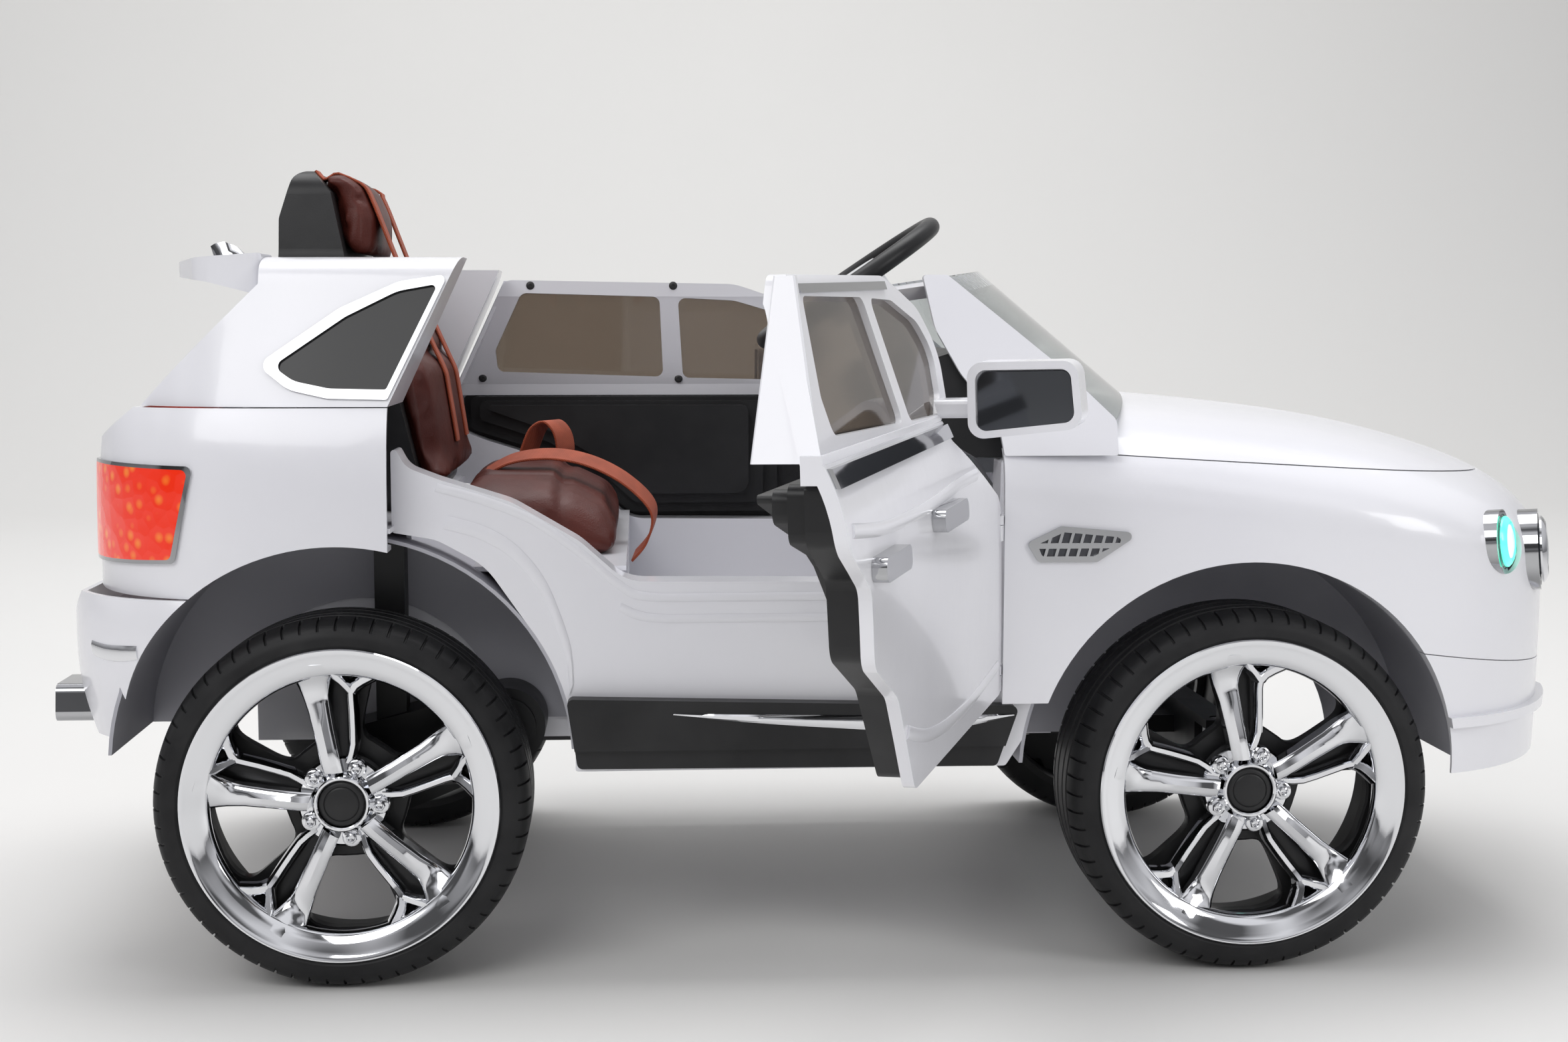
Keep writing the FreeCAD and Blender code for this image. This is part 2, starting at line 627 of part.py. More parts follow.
PILLAR = [
    (FENDER_X, BONNET_SEAM_Z),
    (FENDER_X - 4, BELT_Z - 12, 20),
    (FENDER_X - 34, BELT_Z + 26, 40),
    (FENDER_X - 54, ROOF_Z - 59, 40),
    (FENDER_X - 63, ROOF_Z - 14, 3),
    (FENDER_X - 42, ROOF_Z - 14, 3),
    (FENDER_X + 52, BELT_Z + 30, 60),
    (BONNET_X - SEAM, BELT_Z - 12, 10),
    (BONNET_X - SEAM, BONNET_SEAM_Z),
]
PILLAR_WALL = 6.0


def windscreen_frame():
    x0, x1 = FENDER_X - 106, BONNET_X + 38
    band = upper_bar(0, x0, x1).cut(upper_bar(PILLAR_WALL, x0 - 10, x1 + 10))
    side = band.common(prism_xz(PILLAR, -FAR, -CUTOUT_HALF, 2))
    header = glass_strip(0.9, 1.0, 2.5, -6.0)
    cowl = glass_strip(0.0, 0.10, 2.5, -6.0)
    frame = fuse_all([side, mirrored(side), header, cowl])
    return biggest(frame.cut(windscreen()))


def windscreen():
    return biggest(glass_strip(0.0, 1.0, 0.0, GLASS_THICKNESS).cut(front_form))


# Floor tub with hollow sills
SILL_REAR = drawn_from(REAR_AXLE_X, FLOOR_Z, [
    (191, 4, 4), (185, 64, 30), (164, 113, 60), (119, 178, 60), (79, 200, 40), (43, 206, 3),
    (43, 283, 3), (55, 260, 20), (81, 250, 30), (141, 231, 60), (197, 198, 60), (235, 164, 40)])
SILL_FRONT = drawn_from(FRONT_AXLE_X, FLOOR_Z, [
    (-231, 161, 14), (-215, 174, 10), (-213, 264, 3), (-176, 264, 3), (-175, 54, 4), (-207, 4, 4)])


def sill():
    face = Part.Face(rounded_wire(SILL_REAR + SILL_FRONT, 4, lambda p: V(p.x, -SILL_OUTER, p.y)))
    block = face.extrude(V(0, SILL_OUTER - SILL_INNER, 0))
    inner = face.makeOffset2D(-WALL)
    inner.translate(V(0, WALL, 0))
    hollow = inner.extrude(V(0, SILL_OUTER - SILL_INNER - 2 * WALL, 0))
    drain_y = (-SILL_OUTER + 12, -SILL_INNER - 12)
    drains = box(REAR_AXLE_X + 241, FRONT_AXLE_X - 261, *drain_y, FLOOR_Z - 2, FLOOR_Z + 12)
    return block.cut(hollow).cut(drains)


def hinge_axis():
    lean = math.radians(HINGE_LEAN)
    return V(0, -math.sin(lean), math.cos(lean))


def hinge_point(z):
    axis = hinge_axis()
    return V(HINGE_X, -HINGE_Y, HINGE_Z) + axis * ((z - HINGE_Z) / axis.z)


def hinge_rod(z0, z1, radius):
    return rod(hinge_point(z0), hinge_point(z1), radius)


LUG_THICKNESS = 8.0
LUG_GAP = 0.6
BARREL_LENGTH = 13.0


def hinge_pillar():
    low, high = FLOOR_Z + 74, FLOOR_Z + 262
    post = box(FENDER_X + 3, FENDER_X + 16, -FAR, -SILL_INNER, low, high).common(front_core)
    pocket = BODY_HALF_WIDTH - 15
    post = post.cut(box(FENDER_X + 7, FAR, -pocket, -SILL_OUTER + 0.1, low + WALL, high - WALL))
    shapes = [post]
    for z in HINGE_HEIGHTS:
        centre = hinge_point(z)
        arm = box(HINGE_X, FENDER_X + 5, centre.y + 2.5, centre.y + 7.0, z + LUG_GAP, z + LUG_THICKNESS)
        shapes.append(hinge_rod(z + LUG_GAP, z + LUG_THICKNESS, HINGE_BARREL_RADIUS))
        shapes.append(arm)
    lugs = fuse_all(shapes)
    for z in HINGE_HEIGHTS:
        lugs = lugs.cut(hinge_rod(z - 2, z + LUG_THICKNESS + 2, HINGE_PIN_RADIUS))
    return lugs


def hinge_pins():
    pins = []
    for z in HINGE_HEIGHTS:
        pin = hinge_rod(z - BARREL_LENGTH + 1, z + LUG_THICKNESS + 1, HINGE_PIN_RADIUS)
        pins += [pin, mirrored(pin)]
    return Part.Compound(pins)


PEDAL_Y = -85.0
PEDAL_HALF = 28.0
PEDAL_X = FRONT_AXLE_X - 173.0
PEDAL_Z = FLOOR_Z + 24.0
PEDAL_PIN = 3.0
SEAT_FRONT_X = REAR_AXLE_X + 235.0
CABIN_REAR_X = REAR_AXLE_X + 189.0
SEAT_REAR_X = REAR_AXLE_X + 51.0
BACK_X = REAR_AXLE_X - 97.0
CABIN_FRONT_X = FRONT_AXLE_X - 213.0
BULKHEAD_X = FRONT_AXLE_X - 141.0
BULKHEAD_TOP = FLOOR_Z + 220.0


def steer_axis():
    rake = math.radians(STEER_RAKE)
    return V(math.cos(rake), 0, -math.sin(rake))


def steer_point(distance):
    return STEER_CENTRE + steer_axis() * distance


def floor_tub():
    rear_half = REAR_WELL - WALL
    front_half = FRONT_WELL - WALL
    wide = SILL_INNER + 2
    low = FLOOR_Z + WALL
    floor_top = low + FLOOR_THICKNESS
    front_x = CABIN_FRONT_X + WALL
    plates = [
        box(CABIN_REAR_X, front_x, -wide, wide, low, floor_top),
        box(BACK_X, CABIN_REAR_X + WALL, -rear_half, rear_half, low, floor_top),
        box(CABIN_FRONT_X, BULKHEAD_X, -front_half, front_half, low, floor_top),
        box(BULKHEAD_X - WALL, BULKHEAD_X, -front_half, front_half, low, BULKHEAD_TOP),
        box(SEAT_FRONT_X - WALL, SEAT_FRONT_X, -rear_half, rear_half, low, SEAT_BASE_Z),
        box(CABIN_REAR_X, CABIN_REAR_X + WALL, -wide, wide, low, SEAT_BASE_Z),
        box(SEAT_REAR_X, SEAT_FRONT_X, -wide, wide, SEAT_BASE_Z - WALL, SEAT_BASE_Z),
        box(BACK_X, SEAT_REAR_X + WALL, -rear_half, rear_half, SEAT_BASE_Z - WALL, SEAT_BASE_Z),
        box(SEAT_REAR_X, SEAT_REAR_X + WALL, -wide, wide, SEAT_BASE_Z - WALL, SHELF_Z),
        box(BACK_X, SEAT_REAR_X + WALL, -wide, wide, SHELF_Z - WALL, SHELF_Z),
        box(BACK_X, PILLAR_X + 2, -FAR, FAR, SHELF_Z - WALL, SHELF_Z).common(rear_core),
        box(BACK_X, BACK_X + WALL, -rear_half, rear_half, low, SHELF_Z),
        box(BACK_X, BACK_X + WALL, -FAR, FAR, SHELF_Z - WALL, BELT_Z - SEAM).common(rear_core),
    ]
    for side in (-1, 1):
        rear_y, front_y = side * rear_half, side * front_half
        y0, y1 = sorted((side * FRONT_WELL, side * SILL_INNER))
        plates.append(box(BACK_X, CABIN_REAR_X + WALL, rear_y - WALL / 2, rear_y + WALL / 2, low, SEAT_BASE_Z))
        plates.append(box(CABIN_FRONT_X, BULKHEAD_X, front_y - WALL / 2, front_y + WALL / 2, low, BULKHEAD_TOP))
        plates.append(box(CABIN_FRONT_X, front_x, y0, y1, low, BULKHEAD_TOP))
    ear = [(PEDAL_X - 12, floor_top - 1), (PEDAL_X + 12, floor_top - 1)]
    ear += [(PEDAL_X + 7, PEDAL_Z + 8), (PEDAL_X - 7, PEDAL_Z + 8)]
    for y in (PEDAL_Y - PEDAL_HALF - 8, PEDAL_Y + PEDAL_HALF + 1):
        plates.append(prism_xz(ear, y, y + 7, 2))
    right = fuse_all([sill(), hinge_pillar()])
    tub = fuse_all(plates + [right, mirrored(right)])
    tub = tub.cut(cross_rod(PEDAL_X, PEDAL_Z, PEDAL_PIN + RUNNING_FIT, -FRONT_WELL, 0))
    tub = tub.cut(front_liner_room(FAR, 0)).cut(rear_liner_room(FAR, 0))
    tub = tub.cut(rod(steer_point(250), steer_point(470), SHAFT_RADIUS + 5))
    return biggest(tub)


LINER_OPEN = 120.0


def wheel_arch_liners():
    pieces = []
    for x, z, arch, well in ((REAR_AXLE_X, REAR_ARCH_Z, REAR_ARCH_RADIUS, REAR_WELL),
                             (FRONT_ARCH_X, FRONT_ARCH_Z, FRONT_ARCH_RADIUS, FRONT_WELL)):
        radius = arch + LINER_GAP
        strip = tube(V(x, -LINER_EDGE, z), V(x, -well, z), radius + LINER_WALL, radius)
        wall = tube(V(x, -well - LINER_WALL, z), V(x, -well, z), radius + 1, LINER_OPEN)
        liner = fuse_all([strip, wall]).common(box(-FAR, FAR, -FAR, 0, z + 10, FAR))
        pieces += [liner, mirrored(liner)]
    return Part.Compound(pieces)


SKIRT = drawn_from(REAR_AXLE_X, FLOOR_Z, [(194, 8), (185, 68)])
SKIRT += drawn_from(FRONT_AXLE_X, FLOOR_Z, [(-198, 58), (-216, 6)])
SKIRT_DEPTH = 16.0


def side_skirts():
    outer = SILL_OUTER + SKIRT_DEPTH
    skirt = prism_xz(SKIRT, -outer, -SILL_OUTER, 5)
    lower = box(-FAR, FAR, -FAR, 6 - outer, 0, FLOOR_Z + 24)
    return both(skirt.cut(lower))


# Doors are drawn shut on the right side, then opened or mirrored
DOOR_REAR = PILLAR_X + DOOR_GAP
DOOR_FRONT = HINGE_X - 2.0
DOOR_NOSE = FRONT_AXLE_X - 373.0
DOOR_LOWER = [(DOOR_REAR, BELT_Z, 0), (DOOR_REAR, BELT_Z - 52, 16)]
DOOR_LOWER += drawn_from(REAR_AXLE_X, FLOOR_Z, [(91, 228, 14), (95, 178, 16), (159, 146, 24), (213, 71, 16)])
DOOR_LOWER += [(DOOR_FRONT, FLOOR_Z + 71, 6), (DOOR_FRONT, BELT_Z - 77, 24)]
DOOR_LOWER += [(DOOR_NOSE + 64, BELT_Z - 42, 30), (DOOR_NOSE, BELT_Z - 14, 14), (DOOR_NOSE, BELT_Z, 0)]
WINDOW_TOP = ROOF_Z - 8.0
DOOR_UPPER = [
    (DOOR_REAR, BELT_Z, 0),
    (DOOR_REAR + 56, WINDOW_TOP, 12),
    (DOOR_NOSE - 38, WINDOW_TOP - 4, 60),
    (DOOR_NOSE + 40, ROOF_Z - 38, 40),
    (DOOR_NOSE + 66, BELT_Z + 50, 40),
    (DOOR_NOSE + 38, BELT_Z + 10, 30),
    (DOOR_NOSE, BELT_Z, 0),
]
PANE_REAR = drawn_from(REAR_AXLE_X, BELT_Z, [
    (91, 14, 8), (89, 38, 10), (119, CABIN_HEIGHT - 22, 10), (269, CABIN_HEIGHT - 26, 8), (273, 8, 8)])
PANE_FRONT = drawn_from(FRONT_AXLE_X, BELT_Z, [
    (-467, 7, 8), (-473, CABIN_HEIGHT - 27, 8), (-411, CABIN_HEIGHT - 30, 40), (-349, CABIN_HEIGHT - 48, 30),
    (-327, 50, 24), (-351, 18, 20), (-375, 5, 6)])
DOOR_FRAME_WALL = 14.0
PANE_WALL = 3.0
PANE_INSET = 4.0
DOOR_BAR = (DOOR_REAR - 10, DOOR_NOSE + 92)
HANDLE_HEIGHT = 16.0
HANDLES = (
    (REAR_AXLE_X + 93, REAR_AXLE_X + 164, BELT_Z - 78),
    (FRONT_AXLE_X - 489, FRONT_AXLE_X - 405, BELT_Z - 70),
)


def door_half(shape):
    return shape.common(box(-FAR, FAR, -FAR, -CUTOUT_HALF, 0, FAR))


def door_bar(inset):
    return upper_bar(inset, *DOOR_BAR)


def door_prism(points, radius=0.0):
    return prism_xz(points, -FAR, -CUTOUT_HALF, radius)


def door_shell():
    lower_band = middle_form.cut(body_form(MIDDLE_STATIONS, DOOR_SKIN))
    lower = lower_band.common(door_prism(DOOR_LOWER))
    upper_band = door_bar(0).cut(door_bar(DOOR_FRAME_WALL))
    upper = upper_band.common(prism_xz(DOOR_UPPER, -FAR, -UPPER_ROOF + DOOR_FRAME_WALL + 4))
    low = BELT_Z - 12
    ledge = [(DOOR_REAR, low), (DOOR_REAR, BELT_Z + 6), (DOOR_NOSE, BELT_Z + 4), (DOOR_NOSE, low)]
    shell = fuse_all([lower, upper, prism_xz(ledge, -UPPER_BELT, -DOOR_INNER_FACE)])
    shell = shell.cut(door_prism(PANE_REAR)).cut(door_prism(PANE_FRONT))
    barrels = [hinge_rod(z - BARREL_LENGTH, z, HINGE_BARREL_RADIUS) for z in HINGE_HEIGHTS]
    for z in HINGE_HEIGHTS:
        shell = shell.cut(hinge_rod(z, z + LUG_THICKNESS + 1.5, HINGE_BARREL_RADIUS + 2.0))
    shell = fuse_all([shell] + barrels)
    for z in HINGE_HEIGHTS:
        shell = shell.cut(hinge_rod(z - BARREL_LENGTH - 1, z + 2, HINGE_PIN_RADIUS + RUNNING_FIT))
    return biggest(shell)


# Stepped back of the inner panel, each step smaller and further into the cabin, clear of the sill below it
TERRACES = 3
TERRACE_DEPTH = 13.0
TERRACE_INSET = 11.0
TERRACE_RISE = 5.0
TERRACE_FRONT = HINGE_X - 142.0
PANEL_WALL = 3.0


def terrace_outline(level):
    inset = TERRACE_INSET * level
    rise = TERRACE_RISE + inset
    rear = DOOR_REAR + 15 + inset
    front = TERRACE_FRONT - 1.5 * inset
    top = BELT_Z - 13 - 0.4 * inset
    low = [(max(x + 0.6 * inset, rear), z + rise, 12) for x, z, radius in SILL_REAR[8:]]
    return [(front, top, 8), (rear, top, 8), (rear, low[0][1] + 6, 8)] + low[1:] + [(front, low[-1][1], 14)]


def door_terraces():
    solids = []
    hollows = []
    for level in range(TERRACES):
        depth = TERRACE_DEPTH * (level + 1)
        outer = rounded_wire(terrace_outline(level), 4, lambda p: V(p.x, -DOOR_INNER_FACE - 1, p.y))
        face = Part.Face(outer)
        solids.append(face.extrude(V(0, depth + 1, 0)))
        inner = face.makeOffset2D(-PANEL_WALL)
        inner.translate(V(0, -PANEL_WALL, 0))
        hollows.append(inner.extrude(V(0, depth + 1, 0)))
    return fuse_all(solids), fuse_all(hollows)


def door_inner_panel():
    top = BELT_Z - 13
    shrunk = [(DOOR_REAR + 7, top, 3), (DOOR_REAR + 7, BELT_Z - 48, 14)]
    shrunk += drawn_from(REAR_AXLE_X, FLOOR_Z, [(97, 232, 12), (101, 182, 16), (164, 150, 22), (218, 77, 12)])
    shrunk += [(HINGE_X - 12, FLOOR_Z + 77, 6), (HINGE_X - 12, BELT_Z - 82, 20)]
    shrunk += [(DOOR_NOSE + 60, BELT_Z - 48, 26), (DOOR_NOSE - 2, BELT_Z - 19, 8), (DOOR_NOSE - 2, top, 3)]
    face = Part.Face(rounded_wire(shrunk, 4, lambda p: V(p.x, -DOOR_INNER_FACE, p.y)))
    block = face.extrude(V(0, -60, 0)).common(body_form(MIDDLE_STATIONS, DOOR_SKIN))
    inner = face.makeOffset2D(-PANEL_WALL)
    inner.translate(V(0, -PANEL_WALL, 0))
    panel = block.cut(inner.extrude(V(0, -60, 0)))
    steps, hollow = door_terraces()
    panel = panel.fuse(steps).cut(hollow)
    ribs = []
    for rise in (128, 158, 188):
        z = FLOOR_Z + rise
        rib = box(DOOR_REAR + 65, HINGE_X - 40, -DOOR_INNER_FACE - 8, -DOOR_INNER_FACE - 3, z, z + 3)
        ribs.append(rib.common(block))
    return biggest(fuse_all([panel] + ribs))


def door_panes():
    band = door_bar(PANE_INSET).cut(door_bar(PANE_INSET + PANE_WALL))
    return Part.Compound([biggest(band.common(door_prism(pane))) for pane in (PANE_REAR, PANE_FRONT)])


def door_trim():
    low_band = door_half(body_form(MIDDLE_STATIONS, -3).cut(middle_form))
    strip = [(DOOR_REAR + 2, BELT_Z - 14), (DOOR_REAR + 2, BELT_Z - 2)]
    strip += [(DOOR_NOSE - 2, BELT_Z - 2), (DOOR_NOSE - 2, BELT_Z - 12)]
    pieces = [biggest(low_band.common(door_prism(strip)))]
    handle_band = door_half(body_form(MIDDLE_STATIONS, -10).cut(middle_form))
    for x0, x1, z0 in HANDLES:
        z1 = z0 + HANDLE_HEIGHT
        pieces.append(biggest(handle_band.common(door_prism([(x0, z0), (x1, z0), (x1, z1), (x0, z1)], 6))))
    top_band = door_bar(-2).cut(door_bar(0))
    line = [(DOOR_REAR + 59, ROOF_Z - 14), (DOOR_REAR + 67, ROOF_Z - 20), (DOOR_NOSE - 48, ROOF_Z - 22),
            (DOOR_NOSE - 48, ROOF_Z - 16)]
    pieces.append(biggest(top_band.common(door_prism(line))))
    return Part.Compound(pieces)


MIRROR_X = (FRONT_AXLE_X - 381, FRONT_AXLE_X - 339)
MIRROR_Y = (-BODY_HALF_WIDTH - 91, -BODY_HALF_WIDTH - 5)
MIRROR_Z = (BELT_Z - 14, BELT_Z + 44)


def door_mirror():
    x0, x1 = MIRROR_X
    y0, y1 = MIRROR_Y
    z0, z1 = MIRROR_Z
    shell = prism_yz([(y0, z0 + 8), (y0 + 4, z1), (y1, z1), (y1, z0)], x0, x1, 12)
    shell = soften(shell, 9, lambda edge: edge.BoundBox.XMin > x1 - 0.1)
    pocket = [(y0 + 6, z0 + 13), (y0 + 9, z1 - 6), (y1 - 6, z1 - 6), (y1 - 6, z0 + 6)]
    shell = shell.cut(prism_yz(pocket, x0 - 1, x0 + 5, 8))
    foot = [(x0 + 4, z0 + 16), (x0 + 4, z0 + 30), (x0 + 34, z0 + 30), (x0 + 34, z0 + 16)]
    foot = prism_xz(foot, y1 - 22, -SILL_OUTER, 4)
    foot = foot.cut(upper_bar(0, x0 - 40, x1 + 58)).cut(middle_form)
    return biggest(fuse_all([shell, foot]))


def door_pieces():
    return {
        "shell": door_shell(),
        "inner_panel": door_inner_panel(),
        "panes": door_panes(),
        "trim": door_trim(),
        "mirror": door_mirror(),
    }


def opened(shape):
    turned = shape.copy()
    turned.rotate(V(HINGE_X, -HINGE_Y, HINGE_Z), hinge_axis(), DOOR_OPEN_ANGLE)
    return turned


# Cabin
DASH = drawn_from(FRONT_AXLE_X, BELT_Z, [
    (-145, -12), (-145, -87), (-167, -87), (-175, -54), (-231, -46), (-289, -12), (-297, 12), (-283, 34),
    (-245, 46), (-211, 38)])
DASH_HALF = UPPER_BELT - 28.0
PILLAR_TRIM = drawn_from(FRONT_AXLE_X, BELT_Z, [
    (-299, CABIN_HEIGHT - 18), (-281, CABIN_HEIGHT - 18), (-273, CABIN_HEIGHT - 59, 40), (-253, 26, 40),
    (-223, -12), (-217, -36), (-217, -70), (-231, -66), (-301, -30), (-319, 2), (-301, 26, 20),
    (-293, CABIN_HEIGHT - 68, 20)])
BUTTON_X = FRONT_AXLE_X - 261.0
BUTTON_Y = 150.0
BUTTON_Z = BELT_Z - 29.0
BUTTON_RADIUS = 10.0
BUTTON_TRAVEL = 3.0
LEVER_Y = -140.0
LEVER_X = FRONT_AXLE_X - 277.0
LEVER_Z = BELT_Z + 32.0
LEVER_LENGTH = 49.0
LEVER_KNOB = 9.0


# Charging socket, set square into the dash face above the steering column
SOCKET_Y = 190.0
SOCKET_RADIUS = 9.0
SOCKET_FLANGE = 4.0
SOCKET_BORE = 2.75
SOCKET_DEPTH = 12.0
SOCKET_EDGE = (7, 8)


def socket_rod(start, end, radius):
    low, high = (V(DASH[k][0], SOCKET_Y, DASH[k][1]) for k in SOCKET_EDGE)
    middle = (low + high) * 0.5
    axis = V(low.z - high.z, 0, high.x - low.x).normalize()
    return rod(middle + axis * start, middle + axis * end, radius)


def charging_socket():
    socket = fuse_all([socket_rod(-22, 0, SOCKET_RADIUS), socket_rod(0, SOCKET_FLANGE, SOCKET_RADIUS + 4)])
    return socket.cut(socket_rod(SOCKET_FLANGE - SOCKET_DEPTH, SOCKET_FLANGE + 1, SOCKET_BORE))


def dashboard():
    face = Part.Face(rounded_wire(DASH, 8, lambda p: V(p.x, -DASH_HALF, p.y)))
    block = face.extrude(V(0, 2 * DASH_HALF, 0))
    inner = face.makeOffset2D(-WALL)
    inner.translate(V(0, WALL, 0))
    block = block.cut(inner.extrude(V(0, 2 * DASH_HALF - 2 * WALL, 0)))
    block = block.cut(box(FRONT_AXLE_X - 165, FAR, -DASH_HALF + 88, DASH_HALF - 88, BELT_Z - 92, BELT_Z - 16))
    x0, x1 = FENDER_X - 226, BONNET_X + 38
    sides = upper_bar(PILLAR_WALL + 0.5, x0, x1)
    block = block.common(sides)
    band = sides.cut(upper_bar(PILLAR_WALL + 5.0, x0 - 10, x1 + 10))
    wing = biggest(band.common(door_prism(PILLAR_TRIM, 3)))
    lug = drawn_from(LEVER_X, LEVER_Z, [(-8, -2), (22, -2), (14, 24), (0, 24)])
    lugs = [prism_xz(lug, y, y + 6, 3) for y in (LEVER_Y - 11, LEVER_Y + 5)]
    dash = fuse_all([block, wing, mirrored(wing)] + lugs)
    dash = dash.cut(rod(steer_point(-50), steer_point(260), SHAFT_RADIUS + RUNNING_FIT))
    dash = dash.cut(cross_rod(LEVER_X + 7, LEVER_Z + 16, PEDAL_PIN + RUNNING_FIT, LEVER_Y - 20, LEVER_Y + 20))
    dash = dash.cut(button_rod(-30, 30, BUTTON_RADIUS + RUNNING_FIT))
    return biggest(dash.cut(socket_rod(-30, 10, SOCKET_RADIUS)))


def button_rod(start, end, radius):
    centre = V(BUTTON_X, BUTTON_Y, BUTTON_Z)
    axis = V(36, 0, 61).normalize()
    return rod(centre + axis * start, centre + axis * end, radius)


def start_button():
    cap = button_rod(-6, 14, BUTTON_RADIUS)
    collar = button_rod(9, 14, BUTTON_RADIUS + 4)
    return fuse_all([cap, collar])


def drive_lever():
    pivot = V(LEVER_X + 7, LEVER_Y, LEVER_Z + 16)
    pin = cross_rod(pivot.x, pivot.z, PEDAL_PIN, LEVER_Y - 10.5, LEVER_Y + 10.5)
    hub = cross_rod(pivot.x, pivot.z, 7.0, LEVER_Y - 4.5, LEVER_Y + 4.5)
    lean = V(-26, 0, 42).normalize()
    stem = rod(pivot, pivot + lean * (LEVER_LENGTH - LEVER_KNOB), 3.6)
    end = pivot + lean * LEVER_LENGTH
    knob = rod(end - lean * LEVER_KNOB, end + lean * LEVER_KNOB, LEVER_KNOB)
    return fuse_all([pin, hub, stem, soften(knob, LEVER_KNOB * 0.6)])


def accelerator_pedal():
    pin = cross_rod(PEDAL_X, PEDAL_Z, PEDAL_PIN, PEDAL_Y - PEDAL_HALF - 7.5, PEDAL_Y + PEDAL_HALF + 7.5)
    hub = cross_rod(PEDAL_X, PEDAL_Z, 7.0, PEDAL_Y - PEDAL_HALF, PEDAL_Y + PEDAL_HALF)
    plate = drawn_from(PEDAL_X, PEDAL_Z, [(0, 7), (0, 0), (-84, 30), (-82, 37)])
    plate = prism_xz(plate, PEDAL_Y - PEDAL_HALF, PEDAL_Y + PEDAL_HALF, 2)
    ribs = []
    for index in range(5):
        x = PEDAL_X - 72 + index * 12
        z = PEDAL_Z + 33.5 - index * 12 * 30 / 84
        ribs.append(box(x, x + 4, PEDAL_Y - PEDAL_HALF + 5, PEDAL_Y + PEDAL_HALF - 5, z - 4, z + 2))
    return fuse_all([pin, hub, plate] + ribs)


# Seat
SEAT_LINE = drawn_from(REAR_AXLE_X, BELT_Z, [
    (61, -102), (29, 30), (-17, 122), (-31, 186), (-49, 206), (-49, 222)])
PAD_GAP = 0.3


def behind_seat_line():
    points = [(x + PAD_GAP, z) for x, z in SEAT_LINE]
    return prism_xz(points + [(-FAR, SEAT_LINE[-1][1]), (-FAR, SEAT_LINE[0][1])], -FAR, FAR)


def seat_shell():
    side = drawn_from(REAR_AXLE_X, BELT_Z, [
        (57, -98), (45, 28), (3, 118), (-11, 182), (-39, 212), (-65, 202), (-77, 162), (-77, 118), (-55, 18),
        (-43, -98)])
    hollow = drawn_from(REAR_AXLE_X, BELT_Z, [
        (35, -102), (23, 24), (-21, 120), (-35, 182), (-49, 198), (-61, 192), (-71, 160), (-71, 120), (-49, 18),
        (-37, -102)])
    half = [(178, -102), (172, 38), (104, 128), (92, 206)]
    taper = [(y, BELT_Z + z) for y, z in half] + [(-y, BELT_Z + z) for y, z in reversed(half)]
    ahead = SEAT_LINE + [(0, SEAT_LINE[-1][1]), (0, SEAT_LINE[0][1])]
    shell = prism_xz(side, -178, 178, 14).cut(prism_xz(ahead, -FAR, FAR))
    shell = shell.cut(prism_xz(hollow, -86, 86, 8))
    return biggest(shell.common(prism_yz(taper, -FAR, 0, 26)))


# Pads: a loft across the seat, full in the middle and drawn in at the sides
CROWN = 7.0
PAD_SHARES = ((-1.0, 1.0), (-0.93, 0.45), (-0.6, 0.08), (0.0, 0.0), (0.6, 0.08), (0.93, 0.45), (1.0, 1.0))
BACKREST_FRONT = drawn_from(REAR_AXLE_X, BELT_Z, [(67, -50), (56, 22), (9, 120)])
HEADREST_FRONT = drawn_from(REAR_AXLE_X, BELT_Z, [(4, 127), (2, 162), (-10, 192), (-27, 208)])
CUSHION_HALF = 186.0
CUSHION_REAR = REAR_AXLE_X + 81.0


def pad(half_width, draw, outline, radius):
    wires = []
    for share, pull in PAD_SHARES:
        y = half_width * share
        points = outline(draw * pull - CROWN * (1 - share * share))
        wires.append(rounded_wire(points, radius, lambda p: V(p.x, y, p.y)))
    return Part.makeLoft(wires, True, False, False, LOFT_DEGREE)


def seat_backrest():
    def outline(pull):
        sink = max(pull, 0)
        low, middle, top = BACKREST_FRONT
        front = [(low[0] + 12 - pull * 0.4, low[1] - 28 + sink * 0.3), (low[0] - pull, low[1])]
        front += [(middle[0] - pull, middle[1]), (top[0] - pull, top[1] - sink)]
        back = [(top[0] - 34, top[1] - sink), (middle[0] - 35, middle[1] + 8), (low[0] - 24, low[1] - 12)]
        return front + back + [(low[0] - 24, low[1] - 28 + sink * 0.3)]
    half = [(166, -84), (160, 38), (98, 124)]
    taper = [(y, BELT_Z + z) for y, z in half] + [(-y, BELT_Z + z) for y, z in reversed(half)]
    return biggest(pad(166, 16, outline, 5).common(prism_yz(taper, -FAR, 0, 20)).cut(behind_seat_line()))


def headrest():
    def outline(pull):
        sink = max(pull, 0)
        low, middle, high, top = HEADREST_FRONT
        back = [(low[0] - 27, low[1]), (low[0] - 41, low[1] + 59), (low[0] - 49, low[1] + 79)]
        front = [(top[0] - pull * 0.4, top[1] - sink * 0.5), (high[0] - pull * 0.8, high[1])]
        front += [(middle[0] - pull, middle[1])]
        return [(low[0] - pull, low[1])] + back + front
    half = [(90, 123), (80, 212)]
    taper = [(y, BELT_Z + z) for y, z in half] + [(-y, BELT_Z + z) for y, z in reversed(half)]
    return biggest(pad(88, 14, outline, 4).common(prism_yz(taper, -FAR, 0, 22)).cut(behind_seat_line()))


